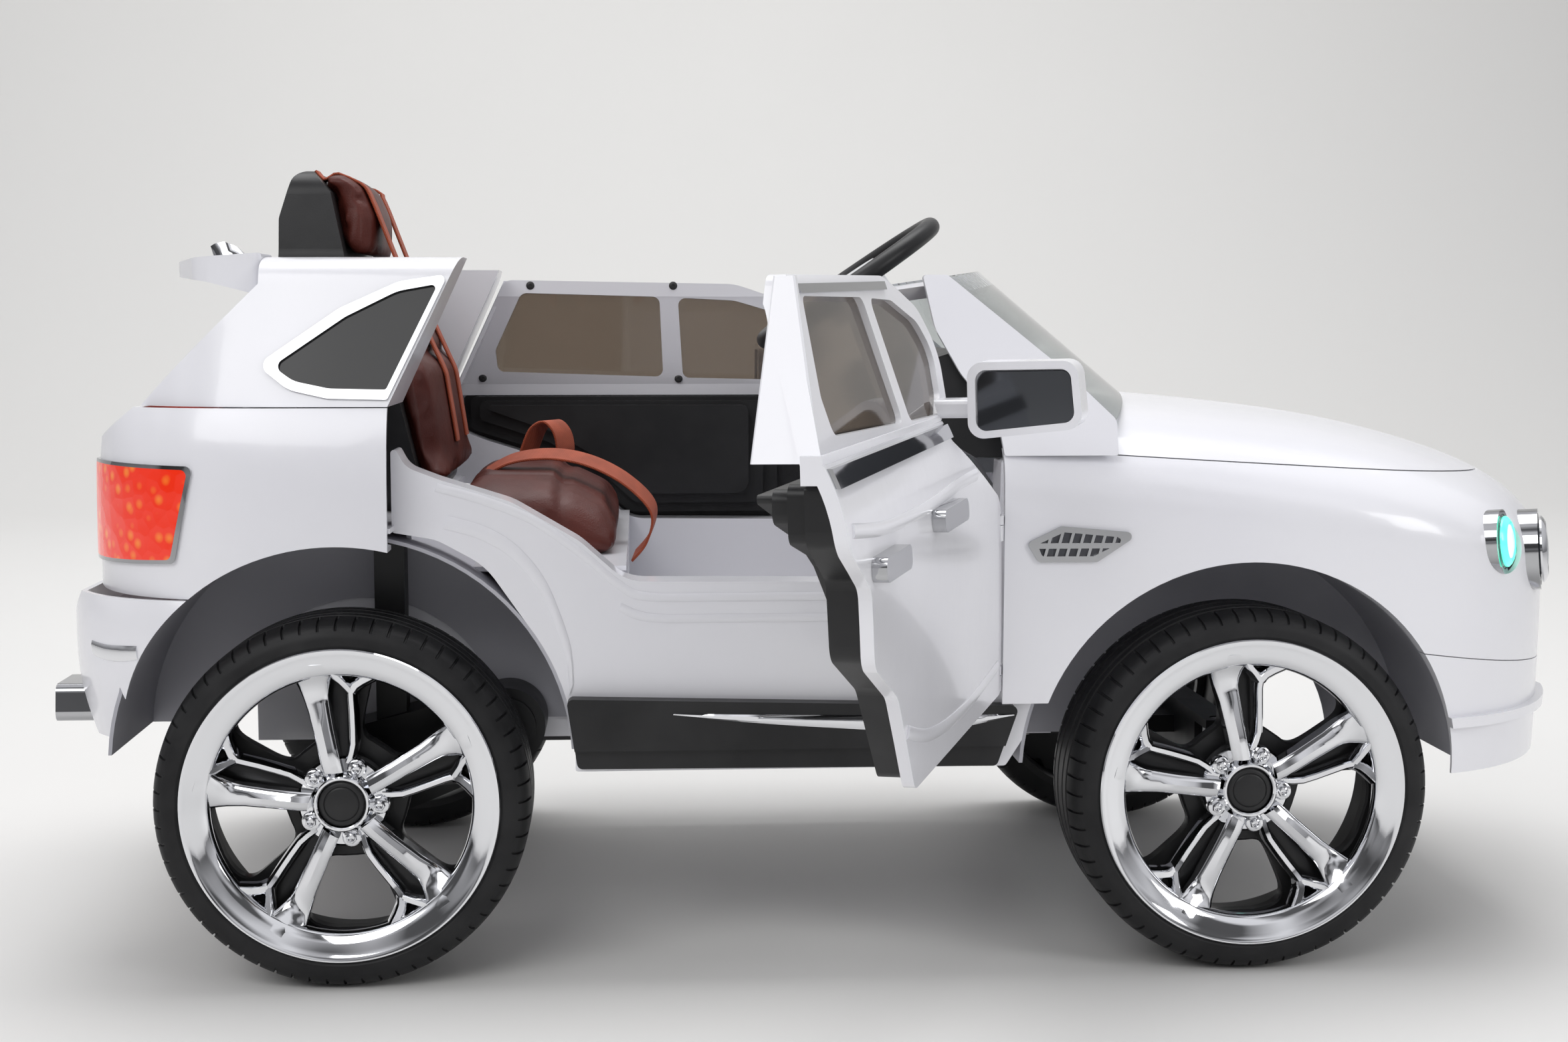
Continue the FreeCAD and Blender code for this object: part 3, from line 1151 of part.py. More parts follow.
def seat_cushion():
    def outline(pull):
        sink = max(pull, 0)
        low = SEAT_BASE_Z
        return [(CUSHION_REAR, low), (CUSHION_REAR, low + 62 - pull), (CUSHION_REAR + 86, low + 61 - pull),
                (SEAT_FRONT_X - 20 - pull * 0.5, low + 37 - pull),
                (SEAT_FRONT_X - 3 - pull * 0.6, low + 20 - pull * 0.4),
                (SEAT_FRONT_X - 3 - sink * 0.4, low)]
    return biggest(pad(CUSHION_HALF, 20, outline, 14).cut(rear_liner_room(FAR, PAD_GAP)))


# Harness straps: flat bands that follow a path in the seat's length plane
STRAP_THICKNESS = 3.0
STRAP_SLACK = 2.2
STRAP_WIDTH = 26.0
SHOULDER_Y = 52.0


def strap(path, y, width):
    curve = Part.BSplineCurve()
    curve.interpolate([V(x, y - width / 2, z) for x, z in path])
    count = 4 * len(path)
    first = []
    second = []
    for index in range(count + 1):
        along = curve.FirstParameter + (curve.LastParameter - curve.FirstParameter) * index / count
        point = curve.value(along)
        tangent = V(*curve.tangent(along)[0])
        normal = V(-tangent.z, 0, tangent.x).normalize()
        first.append(point + normal * (STRAP_THICKNESS / 2))
        second.append(point - normal * (STRAP_THICKNESS / 2))
    upper = Part.BSplineCurve()
    upper.interpolate(first)
    lower = Part.BSplineCurve()
    lower.interpolate(second)
    ends = [Part.makeLine(first[-1], second[-1]), Part.makeLine(second[0], first[0])]
    wire = Part.Wire([upper.toShape(), ends[0], lower.toShape(), ends[1]])
    return Part.Face(wire).extrude(V(0, width, 0))


def seat_belts():
    lift = CROWN + STRAP_THICKNESS / 2 + STRAP_SLACK
    low, middle, top = [V(x + lift, 0, z) for x, z in BACKREST_FRONT]
    shoulder = [(p.x, p.z) for p in ((low + middle) * 0.5, middle, (middle + top) * 0.5, top)]
    shoulder += [(x + lift, z) for x, z in HEADREST_FRONT[1:3]]
    top_z = HEADREST_FRONT[3][1] + lift
    shoulder += [(HEADREST_FRONT[3][0] + 4, top_z), (SEAT_LINE[4][0] - 4, top_z)]
    lap = drawn_from(SEAT_FRONT_X, SEAT_BASE_Z, [
        (-138, 69.1), (-112, 80), (-76, 84), (-38, 76), (-4, 58), (20, 32), (17, 4), (1.6, -14)])
    buckle = drawn_from(SEAT_FRONT_X, SEAT_BASE_Z, [
        (-104, 68.2), (-100, 83), (-92, 101), (-80, 108), (-70, 99), (-66, 83), (-68, 67.7)])
    straps = [strap(shoulder, y, STRAP_WIDTH) for y in (-SHOULDER_Y, SHOULDER_Y)]
    return Part.Compound(straps + [strap(lap, -80, STRAP_WIDTH), strap(buckle, 70, STRAP_WIDTH + 8)])


# Steering
def steering_wheel():
    axis = steer_axis()
    ring = Part.makeTorus(STEER_RADIUS, STEER_GRIP, STEER_CENTRE, axis)
    return ring


def steer_across():
    rake = math.radians(STEER_RAKE)
    return V(math.sin(rake), 0, math.cos(rake))


def steering_hub():
    axis = steer_axis()
    across = steer_across()
    hub = rod(STEER_CENTRE - axis * 6, STEER_CENTRE + axis * 26, 34)
    spokes = []
    reach = STEER_RADIUS - STEER_GRIP + 1
    for direction in (V(0, 1, 0), V(0, -1, 0), across * -1):
        side = axis.cross(direction)
        base = STEER_CENTRE + direction * 20 - side * 14 - axis * 4
        tip = base + direction * (reach - 20)
        corners = [base, base + side * 28, tip + side * 24, tip + side * 4]
        wire = Part.makePolygon(corners + [corners[0]])
        spokes.append(Part.Face(wire).extrude(axis * 8))
    grip = Part.makeTorus(STEER_RADIUS, STEER_GRIP, STEER_CENTRE, axis)
    hub = fuse_all([hub] + spokes).cut(grip)
    return hub.cut(rod(STEER_CENTRE + axis * 8, STEER_CENTRE + axis * 40, SHAFT_RADIUS))


def steering_shaft():
    axis = steer_axis()
    across = steer_across()
    bottom = steer_point(SHAFT_LENGTH)
    shaft = rod(steer_point(8), bottom, SHAFT_RADIUS)
    pin_top = bottom - across * CRANK_RADIUS
    web = rod(bottom - axis * 6, pin_top - axis * 6, 5.0)
    pin = rod(pin_top - axis * 9, pin_top + axis * 16, CRANK_PIN_RADIUS)
    return fuse_all([shaft, web, pin])


def crank_pin_place():
    return steer_point(SHAFT_LENGTH) - steer_across() * CRANK_RADIUS + steer_axis() * 8


STEER_PIN_RADIUS = 4.0


def tie_rod():
    arm_x = FRONT_AXLE_X - STEER_ARM
    bar = box(arm_x - 9, arm_x + 9, -KING_PIN_Y - 14, KING_PIN_Y + 14, TIE_ROD_Z - 3, TIE_ROD_Z + 3)
    place = crank_pin_place()
    plate = box(arm_x - 9, place.x + 24, -30, 30, TIE_ROD_Z - 3, TIE_ROD_Z + 3)
    bar = fuse_all([bar, plate])
    x0, x1 = place.x - 11, place.x + 16
    half = CRANK_PIN_RADIUS + 1.2
    bar = bar.cut(prism_xy([(x0, -half), (x1, -half), (x1, half), (x0, half)], 0, FAR, 5))
    for y in (-KING_PIN_Y, KING_PIN_Y):
        half = STEER_PIN_RADIUS + 0.8
        x0, x1 = arm_x - 6, arm_x + 8.2
        bar = bar.cut(prism_xy([(x0, y - half), (x1, y - half), (x1, y + half), (x0, y + half)], 0, FAR, 4))
    return bar


FORK_LOW = TYRE_RADIUS - 43.0
FORK_HIGH = TYRE_RADIUS + 35.0
FORK_PLATE = 8.0


def steering_knuckle():
    def upright(z0, z1, radius):
        return rod(V(FRONT_AXLE_X, -KING_PIN_Y, z0), V(FRONT_AXLE_X, -KING_PIN_Y, z1), radius)
    pin = upright(FORK_LOW + 1, FORK_HIGH + FORK_PLATE - 1, KING_PIN_RADIUS)
    block = upright(FORK_LOW + FORK_PLATE + 1, FORK_HIGH - 1, 13)
    stub = cross_rod(FRONT_AXLE_X, TYRE_RADIUS, AXLE_RADIUS, -AXLE_END, -KING_PIN_Y)
    flange = cross_rod(FRONT_AXLE_X, TYRE_RADIUS, 14, -WHEEL_Y + 43, -KING_PIN_Y)
    arm_x = FRONT_AXLE_X - STEER_ARM
    arm = box(arm_x - 7, FRONT_AXLE_X, -KING_PIN_Y - 6, -KING_PIN_Y + 6, TIE_ROD_Z - 12, TIE_ROD_Z - 3.6)
    ball = rod(V(arm_x, -KING_PIN_Y, TIE_ROD_Z - 10), V(arm_x, -KING_PIN_Y, TIE_ROD_Z + 8), STEER_PIN_RADIUS)
    return fuse_all([pin, block, stub, flange, arm, ball])


def subframe():
    x = FRONT_AXLE_X
    beam = box(x - 14, x + 14, -KING_PIN_Y + 24, KING_PIN_Y - 24, FORK_LOW, FORK_HIGH + FORK_PLATE)
    inside = KING_PIN_Y - 30
    beam = beam.cut(box(x - 10, x + 30, -inside, inside, FORK_LOW + 6, FORK_HIGH + FORK_PLATE - 6))
    shapes = [beam]
    for side in (-1, 1):
        for z in (FORK_LOW, FORK_HIGH):
            y0, y1 = sorted((side * (KING_PIN_Y + 14), side * (KING_PIN_Y - 26)))
            shapes.append(box(x - 14, x + 14, y0, y1, z, z + FORK_PLATE))
        rail = sorted((side * 96, side * 116))
        shapes.append(box(BACK_X + 30, x - 10, rail[0], rail[1], FLOOR_Z - 6, FLOOR_Z + 4))
        shapes.append(box(x - 14, x + 14, rail[0], rail[1], FLOOR_Z - 12, FORK_HIGH))
        hanger = sorted((side * (REAR_WELL - 22), side * (REAR_WELL - 14)))
        plate = [(REAR_AXLE_X - 24, TYRE_RADIUS - 22), (REAR_AXLE_X + 24, TYRE_RADIUS - 22)]
        plate += [(REAR_AXLE_X + 40, FLOOR_Z + WALL), (REAR_AXLE_X - 40, FLOOR_Z + WALL)]
        shapes.append(prism_xz(plate, hanger[0], hanger[1], 6))
        tie = sorted((side * 96, side * (REAR_WELL - 14)))
        shapes.append(box(REAR_AXLE_X - 40, REAR_AXLE_X + 40, tie[0], tie[1], FLOOR_Z - 6, FLOOR_Z + 4))
    shapes.append(box(CABIN_REAR_X - 8, CABIN_REAR_X + 22, -116, 116, FLOOR_Z - 6, FLOOR_Z + WALL))
    centre = steer_point(SHAFT_LENGTH - 30)
    post = box(centre.x - 12, x - 10, -116, -18, FLOOR_Z, FLOOR_Z + 10)
    shapes += [post, mirrored(post)]
    shapes.append(box(centre.x - 12, centre.x + 14, -20, 20, FLOOR_Z, centre.z + 14))
    frame = fuse_all(shapes)
    column = (steer_point(SHAFT_LENGTH - 117), steer_point(SHAFT_LENGTH + 60))
    frame = frame.cut(rod(*column, SHAFT_RADIUS + RUNNING_FIT))
    crank_room = rod(steer_point(SHAFT_LENGTH - 14), steer_point(SHAFT_LENGTH + 60), CRANK_RADIUS + 9)
    frame = frame.cut(crank_room)
    for side in (-1, 1):
        hole = V(x, side * KING_PIN_Y, 0)
        frame = frame.cut(rod(hole, hole + V(0, 0, FAR), KING_PIN_RADIUS + RUNNING_FIT))
    return biggest(frame.cut(cross_rod(REAR_AXLE_X, TYRE_RADIUS, AXLE_RADIUS, -FAR, FAR)))


def rear_axle():
    return cross_rod(REAR_AXLE_X, TYRE_RADIUS, AXLE_RADIUS, -AXLE_END, AXLE_END)


MOTOR_X = REAR_AXLE_X + 129.0
MOTOR_Z = TYRE_RADIUS + 43.0
GEARBOX_WIDTH = 54.0


def drive_units():
    y0 = TYRE_WIDTH + KING_PIN_GAP - WHEEL_FACE
    y1 = y0 + GEARBOX_WIDTH
    tail = cross_rod(REAR_AXLE_X, TYRE_RADIUS, 44, y0, y1)
    nose = cross_rod(MOTOR_X, MOTOR_Z, 34, y0, y1)
    lean = math.atan2(MOTOR_Z - TYRE_RADIUS, MOTOR_X - REAR_AXLE_X)
    up = V(-math.sin(lean), 0, math.cos(lean))
    a = V(REAR_AXLE_X, y0, TYRE_RADIUS)
    b = V(MOTOR_X, y0, MOTOR_Z)
    corners = [a + up * 44, b + up * 34, b - up * 34, a - up * 44]
    middle = Part.Face(Part.makePolygon(corners + [corners[0]])).extrude(V(0, y1 - y0, 0))
    post_top = REAR_ARCH_Z + REAR_ARCH_RADIUS - 2
    post = box(REAR_AXLE_X + 16, REAR_AXLE_X + 42, y0 + 6, y0 + 34, TYRE_RADIUS + 30, post_top)
    boss = cross_rod(REAR_AXLE_X, TYRE_RADIUS, 20, -WHEEL_Y + 43, y0)
    cover = cross_rod(MOTOR_X, MOTOR_Z, 26, y0 - 6, y0)
    screw = cross_rod(MOTOR_X, MOTOR_Z, 6, y0 - 9, y0 - 6)
    casing = fuse_all([tail, nose, middle, post, boss, cover, screw])
    casing = casing.cut(cross_rod(REAR_AXLE_X, TYRE_RADIUS, AXLE_RADIUS, -FAR, 0))
    return both(casing)


def battery():
    top = FLOOR_Z + 113
    case = box(SEAT_REAR_X, CABIN_REAR_X - 18, -75, 75, FLOOR_Z + FLOOR_THICKNESS + WALL, top)
    posts = [box(SEAT_REAR_X + 30, SEAT_REAR_X + 42, y - 8, y + 8, top, top + 8) for y in (-45, 45)]
    return fuse_all([case] + posts)


# Wheels, drawn about the Y axis with the outer face towards -Y
SPOKES = 5


def spin(points):
    wire = rounded_wire(points, 0.0, lambda p: V(p.x, -p.y, 0))
    return Part.Face(wire).revolve(V(0, 0, 0), V(0, 1, 0), 360)


# Five windows through the disc, between the spokes of the trim
WINDOW_IN = 52.0
WINDOW_OUT = RIM_RADIUS - 17.0
WINDOW_HALF = 22.0
WINDOW_START = 34.5


def disc_windows():
    points = []
    for radius, shares in ((WINDOW_IN, (-0.9, -0.3, 0.3, 0.9)), (WINDOW_OUT, (1, 0.5, 0, -0.5, -1))):
        for share in shares:
            turn = math.radians(WINDOW_HALF * share)
            points.append((radius * math.sin(turn), radius * math.cos(turn)))
    window = prism_xz(points, -16, 4, 7)
    holes = []
    for index in range(SPOKES):
        hole = window.copy()
        hole.rotate(V(0, 0, 0), V(0, 1, 0), WINDOW_START + index * 360 / SPOKES)
        holes.append(hole)
    return holes


def wheel_body():
    half = TYRE_WIDTH / 2
    barrel = RIM_RADIUS - 9
    bore = AXLE_RADIUS + RUNNING_FIT
    points = [
        (bore, -40), (HUB_RADIUS, -40), (HUB_RADIUS, 2), (barrel, 2), (barrel, -half), (RIM_RADIUS, -half),
        (TYRE_RADIUS - 7, -half + 3, 4), (TYRE_RADIUS - 1.5, -half + 14, 10), (TYRE_RADIUS, 0, 200),
        (TYRE_RADIUS - 1.5, half - 14, 10), (TYRE_RADIUS - 7, half - 3, 4), (RIM_RADIUS, half - 2, 3),
        (barrel, half - 10), (barrel, 10), (HUB_RADIUS, 10), (HUB_RADIUS, HUB_FACE), (bore, HUB_FACE),
    ]
    return spin(points).cut(Part.Compound(disc_windows()))


def wheel_trim():
    half = TYRE_WIDTH / 2
    barrel = RIM_RADIUS - 9
    rim = spin([(barrel - 8, half - 30), (barrel, half - 30), (barrel, half - 10), (RIM_RADIUS, half - 2, 2),
                (RIM_RADIUS - 1, half + 1, 1), (RIM_RADIUS - 6, half + 1, 2), (barrel - 8, half - 12, 3)])
    cap = HUB_FACE + 1
    boss = spin([(0, cap + 3), (0, cap), (HUB_RADIUS + 0.4, cap), (HUB_RADIUS + 0.4, 12), (38, 12), (38, cap + 3, 4),
                 (20, cap + 9, 3), (20, cap + 3)])
    shapes = [rim, boss]
    outline = [(-13, 26), (13, 26), (19, barrel - 6), (-19, barrel - 6)]
    branch = [(9, 50), (15, 46), (52, barrel - 16), (44, barrel - 8)]
    for index in range(SPOKES):
        for points, low, high in ((outline, 14, 36), (branch, 16, 32)):
            wire = rounded_wire(points, 2.0, lambda p: V(p.x, -low, p.y))
            bar = Part.Face(wire).extrude(V(0, low - high, 0))
            bar.rotate(V(0, 0, 0), V(0, 1, 0), index * 360 / SPOKES)
            shapes.append(bar)
    return fuse_all(shapes)


def wheel_places():
    return {
        "front_right": (FRONT_AXLE_X, -1),
        "front_left": (FRONT_AXLE_X, 1),
        "rear_right": (REAR_AXLE_X, -1),
        "rear_left": (REAR_AXLE_X, 1),
    }


def main():
    os.makedirs("parts", exist_ok=True)
    quarter_glass, quarter_frame = quarter_parts()
    tail_lenses, tail_ring = tail_lamps()
    bezels = []
    lenses = []
    for lamp in LAMPS:
        bezels += [lamp_bezel(*lamp), mirrored(lamp_bezel(*lamp))]
        lenses += [lamp_lens(*lamp), mirrored(lamp_lens(*lamp))]
    nodes = {
        "floor_tub": floor_tub(),
        "front_shell": front_shell(),
        "bonnet": bonnet(),
        "front_bumper": front_bumper(),
        "front_grille": front_grille(),
        "fender_vents": fender_vents(),
        "headlamp_lenses": Part.Compound(lenses),
        "lamp_bezels": Part.Compound(bezels + [tail_ring, mirrored(tail_ring)]),
        "tail_lamp_lenses": tail_lenses,
        "rear_shell": rear_shell(),
        "rear_upper_shell": rear_upper_shell(),
        "rear_screen": rear_screen(),
        "rear_spoiler": rear_spoiler(),
        "rear_bumper": rear_bumper(),
        "exhaust_tips": exhaust_tips(),
        "quarter_windows": quarter_glass,
        "quarter_window_frames": quarter_frame,
        "windscreen_frame": windscreen_frame(),
        "windscreen": windscreen(),
        "side_skirts": side_skirts(),
        "wheel_arch_liners": wheel_arch_liners(),
        "dashboard": dashboard(),
        "start_button": start_button(),
        "drive_lever": drive_lever(),
        "accelerator_pedal": accelerator_pedal(),
        "seat_shell": seat_shell(),
        "seat_cushion": seat_cushion(),
        "seat_backrest": seat_backrest(),
        "headrest": headrest(),
        "seat_belts": seat_belts(),
        "steering_wheel": steering_wheel(),
        "steering_hub": steering_hub(),
        "steering_shaft": steering_shaft(),
        "tie_rod": tie_rod(),
        "steering_knuckle_right": steering_knuckle(),
        "steering_knuckle_left": mirrored(steering_knuckle()),
        "subframe": subframe(),
        "rear_axle": rear_axle(),
        "drive_units": drive_units(),
        "battery": battery(),
        "charging_socket": charging_socket(),
        "door_hinge_pins": hinge_pins(),
    }
    for name, shape in door_pieces().items():
        nodes["door_right_" + name] = opened(shape)
        nodes["door_left_" + name] = mirrored(shape)
    black = wheel_body()
    bright = wheel_trim()
    for name, (x, side) in wheel_places().items():
        for kind, shape in (("wheel_", black), ("wheel_trim_", bright)):
            placed = shape.copy() if side < 0 else mirrored(shape)
            placed.translate(V(x, side * WHEEL_Y, TYRE_RADIUS))
            nodes[kind + name] = placed
    for name, shape in nodes.items():
        shape.exportStep("parts/" + name + ".step")


main()
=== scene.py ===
import json
import math

import bmesh
import bpy
from mathutils import Matrix, Vector
from mathutils.bvhtree import BVHTree


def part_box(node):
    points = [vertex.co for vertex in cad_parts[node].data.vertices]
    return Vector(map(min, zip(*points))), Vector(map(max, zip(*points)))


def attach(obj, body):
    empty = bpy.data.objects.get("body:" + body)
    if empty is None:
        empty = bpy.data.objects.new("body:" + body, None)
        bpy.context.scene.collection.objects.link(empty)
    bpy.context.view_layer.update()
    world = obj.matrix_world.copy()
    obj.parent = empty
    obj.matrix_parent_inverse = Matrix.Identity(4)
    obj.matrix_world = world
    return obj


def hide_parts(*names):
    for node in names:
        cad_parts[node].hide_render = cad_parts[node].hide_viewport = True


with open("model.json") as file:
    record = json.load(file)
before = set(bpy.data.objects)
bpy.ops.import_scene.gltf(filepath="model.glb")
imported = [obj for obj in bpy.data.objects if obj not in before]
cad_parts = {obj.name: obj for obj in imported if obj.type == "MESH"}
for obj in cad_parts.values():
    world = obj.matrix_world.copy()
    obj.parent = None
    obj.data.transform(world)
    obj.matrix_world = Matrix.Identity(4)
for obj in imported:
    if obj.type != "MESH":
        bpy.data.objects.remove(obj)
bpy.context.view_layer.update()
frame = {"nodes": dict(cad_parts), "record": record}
nodes = frame["nodes"]
scene = bpy.context.scene
scene.view_settings.view_transform = "Standard"

MM = 0.001
RIGHT = -1
LEFT = 1
SIDES = ((RIGHT, "right"), (LEFT, "left"))


# Materials, each made of nodes
def new_material(name, color, rough, metal=0.0, coat=0.0, alpha=1.0):
    material = bpy.data.materials.new(name)
    material.use_nodes = True
    shader = material.node_tree.nodes["Principled BSDF"]
    shader.inputs["Base Color"].default_value = (*color, 1)
    shader.inputs["Roughness"].default_value = rough
    shader.inputs["Metallic"].default_value = metal
    shader.inputs["Coat Weight"].default_value = coat
    shader.inputs["Coat Roughness"].default_value = 0.06
    shader.inputs["Alpha"].default_value = alpha
    return material


def add_node(material, kind, **inputs):
    node = material.node_tree.nodes.new(kind)
    for name, value in inputs.items():
        node.inputs[name.replace("_", " ")].default_value = value
    return node


def link(material, source, target):
    material.node_tree.links.new(source, target)


def shader_of(material):
    return material.node_tree.nodes["Principled BSDF"]


def noise(material, scale, detail=3.0):
    place = material.node_tree.nodes.get("Texture Coordinate")
    if place is None:
        place = material.node_tree.nodes.new("ShaderNodeTexCoord")
    texture = add_node(material, "ShaderNodeTexNoise", Scale=scale, Detail=detail)
    link(material, place.outputs["Object"], texture.inputs["Vector"])
    return texture.outputs["Fac"]


def vary_roughness(material, scale, low, high):
    span = add_node(material, "ShaderNodeMapRange", To_Min=low, To_Max=high)
    link(material, noise(material, scale), span.inputs["Value"])
    link(material, span.outputs["Result"], shader_of(material).inputs["Roughness"])


def vary_color(material, scale, first, second, detail=3.0):
    ramp = material.node_tree.nodes.new("ShaderNodeValToRGB")
    ramp.color_ramp.elements[0].color = (*first, 1)
    ramp.color_ramp.elements[0].position = 0.35
    ramp.color_ramp.elements[1].color = (*second, 1)
    ramp.color_ramp.elements[1].position = 0.65
    link(material, noise(material, scale, detail), ramp.inputs["Fac"])
    link(material, ramp.outputs["Color"], shader_of(material).inputs["Base Color"])


def add_bump(material, height, strength, distance):
    bump = add_node(material, "ShaderNodeBump", Strength=strength, Distance=distance)
    link(material, height, bump.inputs["Height"])
    link(material, bump.outputs["Normal"], shader_of(material).inputs["Normal"])


def white_plastic():
    material = new_material("white_gloss_plastic", (0.80, 0.80, 0.84), 0.22, coat=0.35)
    vary_color(material, 3.0, (0.79, 0.79, 0.835), (0.82, 0.82, 0.855))
    vary_roughness(material, 9.0, 0.17, 0.27)
    add_bump(material, noise(material, 70.0, 1.0), 0.05, 0.001)
    return material


def black_plastic():
    material = new_material("black_satin_plastic", (0.014, 0.014, 0.015), 0.4)
    shader_of(material).inputs["Specular IOR Level"].default_value = 0.35
    vary_color(material, 14.0, (0.010, 0.010, 0.011), (0.020, 0.020, 0.021))
    vary_roughness(material, 40.0, 0.32, 0.48)
    add_bump(material, noise(material, 900.0, 2.0), 0.12, 0.0004)
    return material


# Wheel arch liners: white plastic coloured a lilac grey, which is painted shade for the dim arches
def grey_plastic():
    material = new_material("liner_painted_shade", (0.42, 0.42, 0.46), 0.5)
    vary_color(material, 6.0, (0.39, 0.39, 0.43), (0.46, 0.46, 0.50))
    vary_roughness(material, 30.0, 0.45, 0.62)
    add_bump(material, noise(material, 500.0, 2.0), 0.10, 0.0005)
    return material


def chrome(name, shade):
    material = new_material(name, (shade, shade * 1.01, shade * 1.04), 0.06, metal=1.0)
    vary_roughness(material, 25.0, 0.03, 0.09)
    add_bump(material, noise(material, 45.0, 1.0), 0.03, 0.001)
    return material


def gloss_black():
    material = new_material("gloss_black_panel", (0.006, 0.006, 0.007), 0.12)
    shader_of(material).inputs["Specular IOR Level"].default_value = 0.3
    vary_roughness(material, 12.0, 0.08, 0.16)
    return material


def silver_plastic():
    material = new_material("silver_painted_plastic", (0.66, 0.67, 0.69), 0.3, metal=0.35)
    vary_roughness(material, 30.0, 0.24, 0.36)
    return material


def clear_sheet(name, color, transmission, rough):
    material = new_material(name, color, rough)
    shader = shader_of(material)
    shader.inputs["Transmission Weight"].default_value = transmission
    shader.inputs["IOR"].default_value = 1.45
    vary_roughness(material, 15.0, rough * 0.7, rough * 1.4)
    return material


def tyre_rubber():
    material = new_material("tyre_black", (0.012, 0.012, 0.013), 0.5)
    shader_of(material).inputs["Specular IOR Level"].default_value = 0.28
    vary_color(material, 30.0, (0.009, 0.009, 0.010), (0.018, 0.018, 0.019))
    vary_roughness(material, 60.0, 0.42, 0.6)
    add_bump(material, noise(material, 600.0, 3.0), 0.15, 0.0005)
    return material


def steel():
    material = new_material("plain_steel", (0.50, 0.50, 0.51), 0.35, metal=1.0)
    vary_roughness(material, 80.0, 0.28, 0.42)
    return material


def black_steel():
    material = new_material("black_coated_steel", (0.02, 0.02, 0.021), 0.45)
    vary_roughness(material, 50.0, 0.38, 0.52)
    add_bump(material, noise(material, 400.0, 2.0), 0.12, 0.0004)
    return material


def leather():
    material = new_material("maroon_leatherette", (0.080, 0.016, 0.011), 0.45)
    shader_of(material).inputs["Specular IOR Level"].default_value = 0.3
    vary_color(material, 20.0, (0.066, 0.013, 0.009), (0.094, 0.019, 0.013))
    vary_roughness(material, 60.0, 0.38, 0.54)
    cells = add_node(material, "ShaderNodeTexVoronoi", Scale=420.0)
    cells.feature = "DISTANCE_TO_EDGE"
    place = material.node_tree.nodes["Texture Coordinate"]
    link(material, place.outputs["Object"], cells.inputs["Vector"])
    add_bump(material, cells.outputs["Distance"], 0.35, 0.0006)
    return material


def webbing():
    material = new_material("orange_webbing", (0.34, 0.058, 0.018), 0.7)
    vary_color(material, 60.0, (0.30, 0.050, 0.014), (0.39, 0.068, 0.022))
    wave = add_node(material, "ShaderNodeTexWave", Scale=260.0, Distortion=1.5)
    wave.bands_direction = "DIAGONAL"
    place = material.node_tree.nodes["Texture Coordinate"]
    link(material, place.outputs["Object"], wave.inputs["Vector"])
    add_bump(material, wave.outputs["Fac"], 0.45, 0.0006)
    shader_of(material).inputs["Sheen Weight"].default_value = 0.08
    return material


def glowing(name, color, glow, strength):
    material = new_material(name, color, 0.2, coat=0.5)
    shader_of(material).inputs["Emission Color"].default_value = (*glow, 1)
    shader_of(material).inputs["Emission Strength"].default_value = strength
    vary_roughness(material, 40.0, 0.12, 0.28)
    return material


def tail_lens():
    material = glowing("red_tail_lens", (0.55, 0.016, 0.004), (1.0, 0.03, 0.01), 0.42)
    cells = add_node(material, "ShaderNodeTexVoronoi", Scale=75.0)
    place = material.node_tree.nodes["Texture Coordinate"]
    link(material, place.outputs["Object"], cells.inputs["Vector"])
    ramp = material.node_tree.nodes.new("ShaderNodeValToRGB")
    ramp.color_ramp.elements[0].color = (1.0, 0.42, 0.04, 1)
    ramp.color_ramp.elements[0].position = 0.14
    ramp.color_ramp.elements[1].color = (0.92, 0.035, 0.004, 1)
    ramp.color_ramp.elements[1].position = 0.40
    link(material, cells.outputs["Distance"], ramp.inputs["Fac"])
    link(material, ramp.outputs["Color"], shader_of(material).inputs["Emission Color"])
    add_bump(material, cells.outputs["Distance"], 0.4, 0.002)
    return material


WHITE = white_plastic()
BLACK = black_plastic()
LINER_PAINTED_SHADE = grey_plastic()
CHROME = chrome("bright_chrome", 0.74)
TRIM_CHROME = chrome("trim_chrome", 0.46)
PANEL = gloss_black()
SILVER = silver_plastic()
TYRE = tyre_rubber()
STEEL = steel()
COATED = black_steel()
LEATHER = leather()
WEBBING = webbing()
CLEAR = clear_sheet("clear_acrylic", (0.70, 0.74, 0.74), 1.0, 0.03)
SMOKED = clear_sheet("smoked_acrylic", (0.03, 0.03, 0.035), 0.5, 0.05)
TINTED = clear_sheet("tinted_acrylic", (0.20, 0.16, 0.125), 0.85, 0.05)
LENS = clear_sheet("clear_lens", (0.88, 0.92, 0.98), 0.9, 0.04)
RED_LENS = tail_lens()
GREEN_LIGHT = glowing("green_lamp_light", (0.10, 0.75, 0.55), (0.10, 0.95, 0.62), 1.0)
WHITE_LIGHT = glowing("pale_lamp_light", (0.75, 0.95, 0.90), (0.62, 1.0, 0.90), 0.9)
MIRROR = new_material("dark_mirror", (0.10, 0.105, 0.115), 0.05, metal=0.9)
vary_roughness(MIRROR, 10.0, 0.03, 0.08)
RED = new_material("red_button_plastic", (0.45, 0.02, 0.02), 0.25)
vary_roughness(RED, 30.0, 0.2, 0.32)

SLOT_MATERIALS = {
    "white_plastic": WHITE,
    "black_plastic": BLACK,
    "grey_plastic": LINER_PAINTED_SHADE,
    "silver_plastic": SILVER,
    "black_panel": PANEL,
    "chrome_trim": TRIM_CHROME,
    "clear_lens": LENS,
    "red_lens": RED_LENS,
    "clear_glass": CLEAR,
    "dark_glass": SMOKED,
    "tinted_glass": TINTED,
    "red_button": RED,
    "maroon_leather": LEATHER,
    "orange_webbing": WEBBING,
    "tyre_plastic": TYRE,
    "steel": STEEL,
    "black_steel": COATED,
}


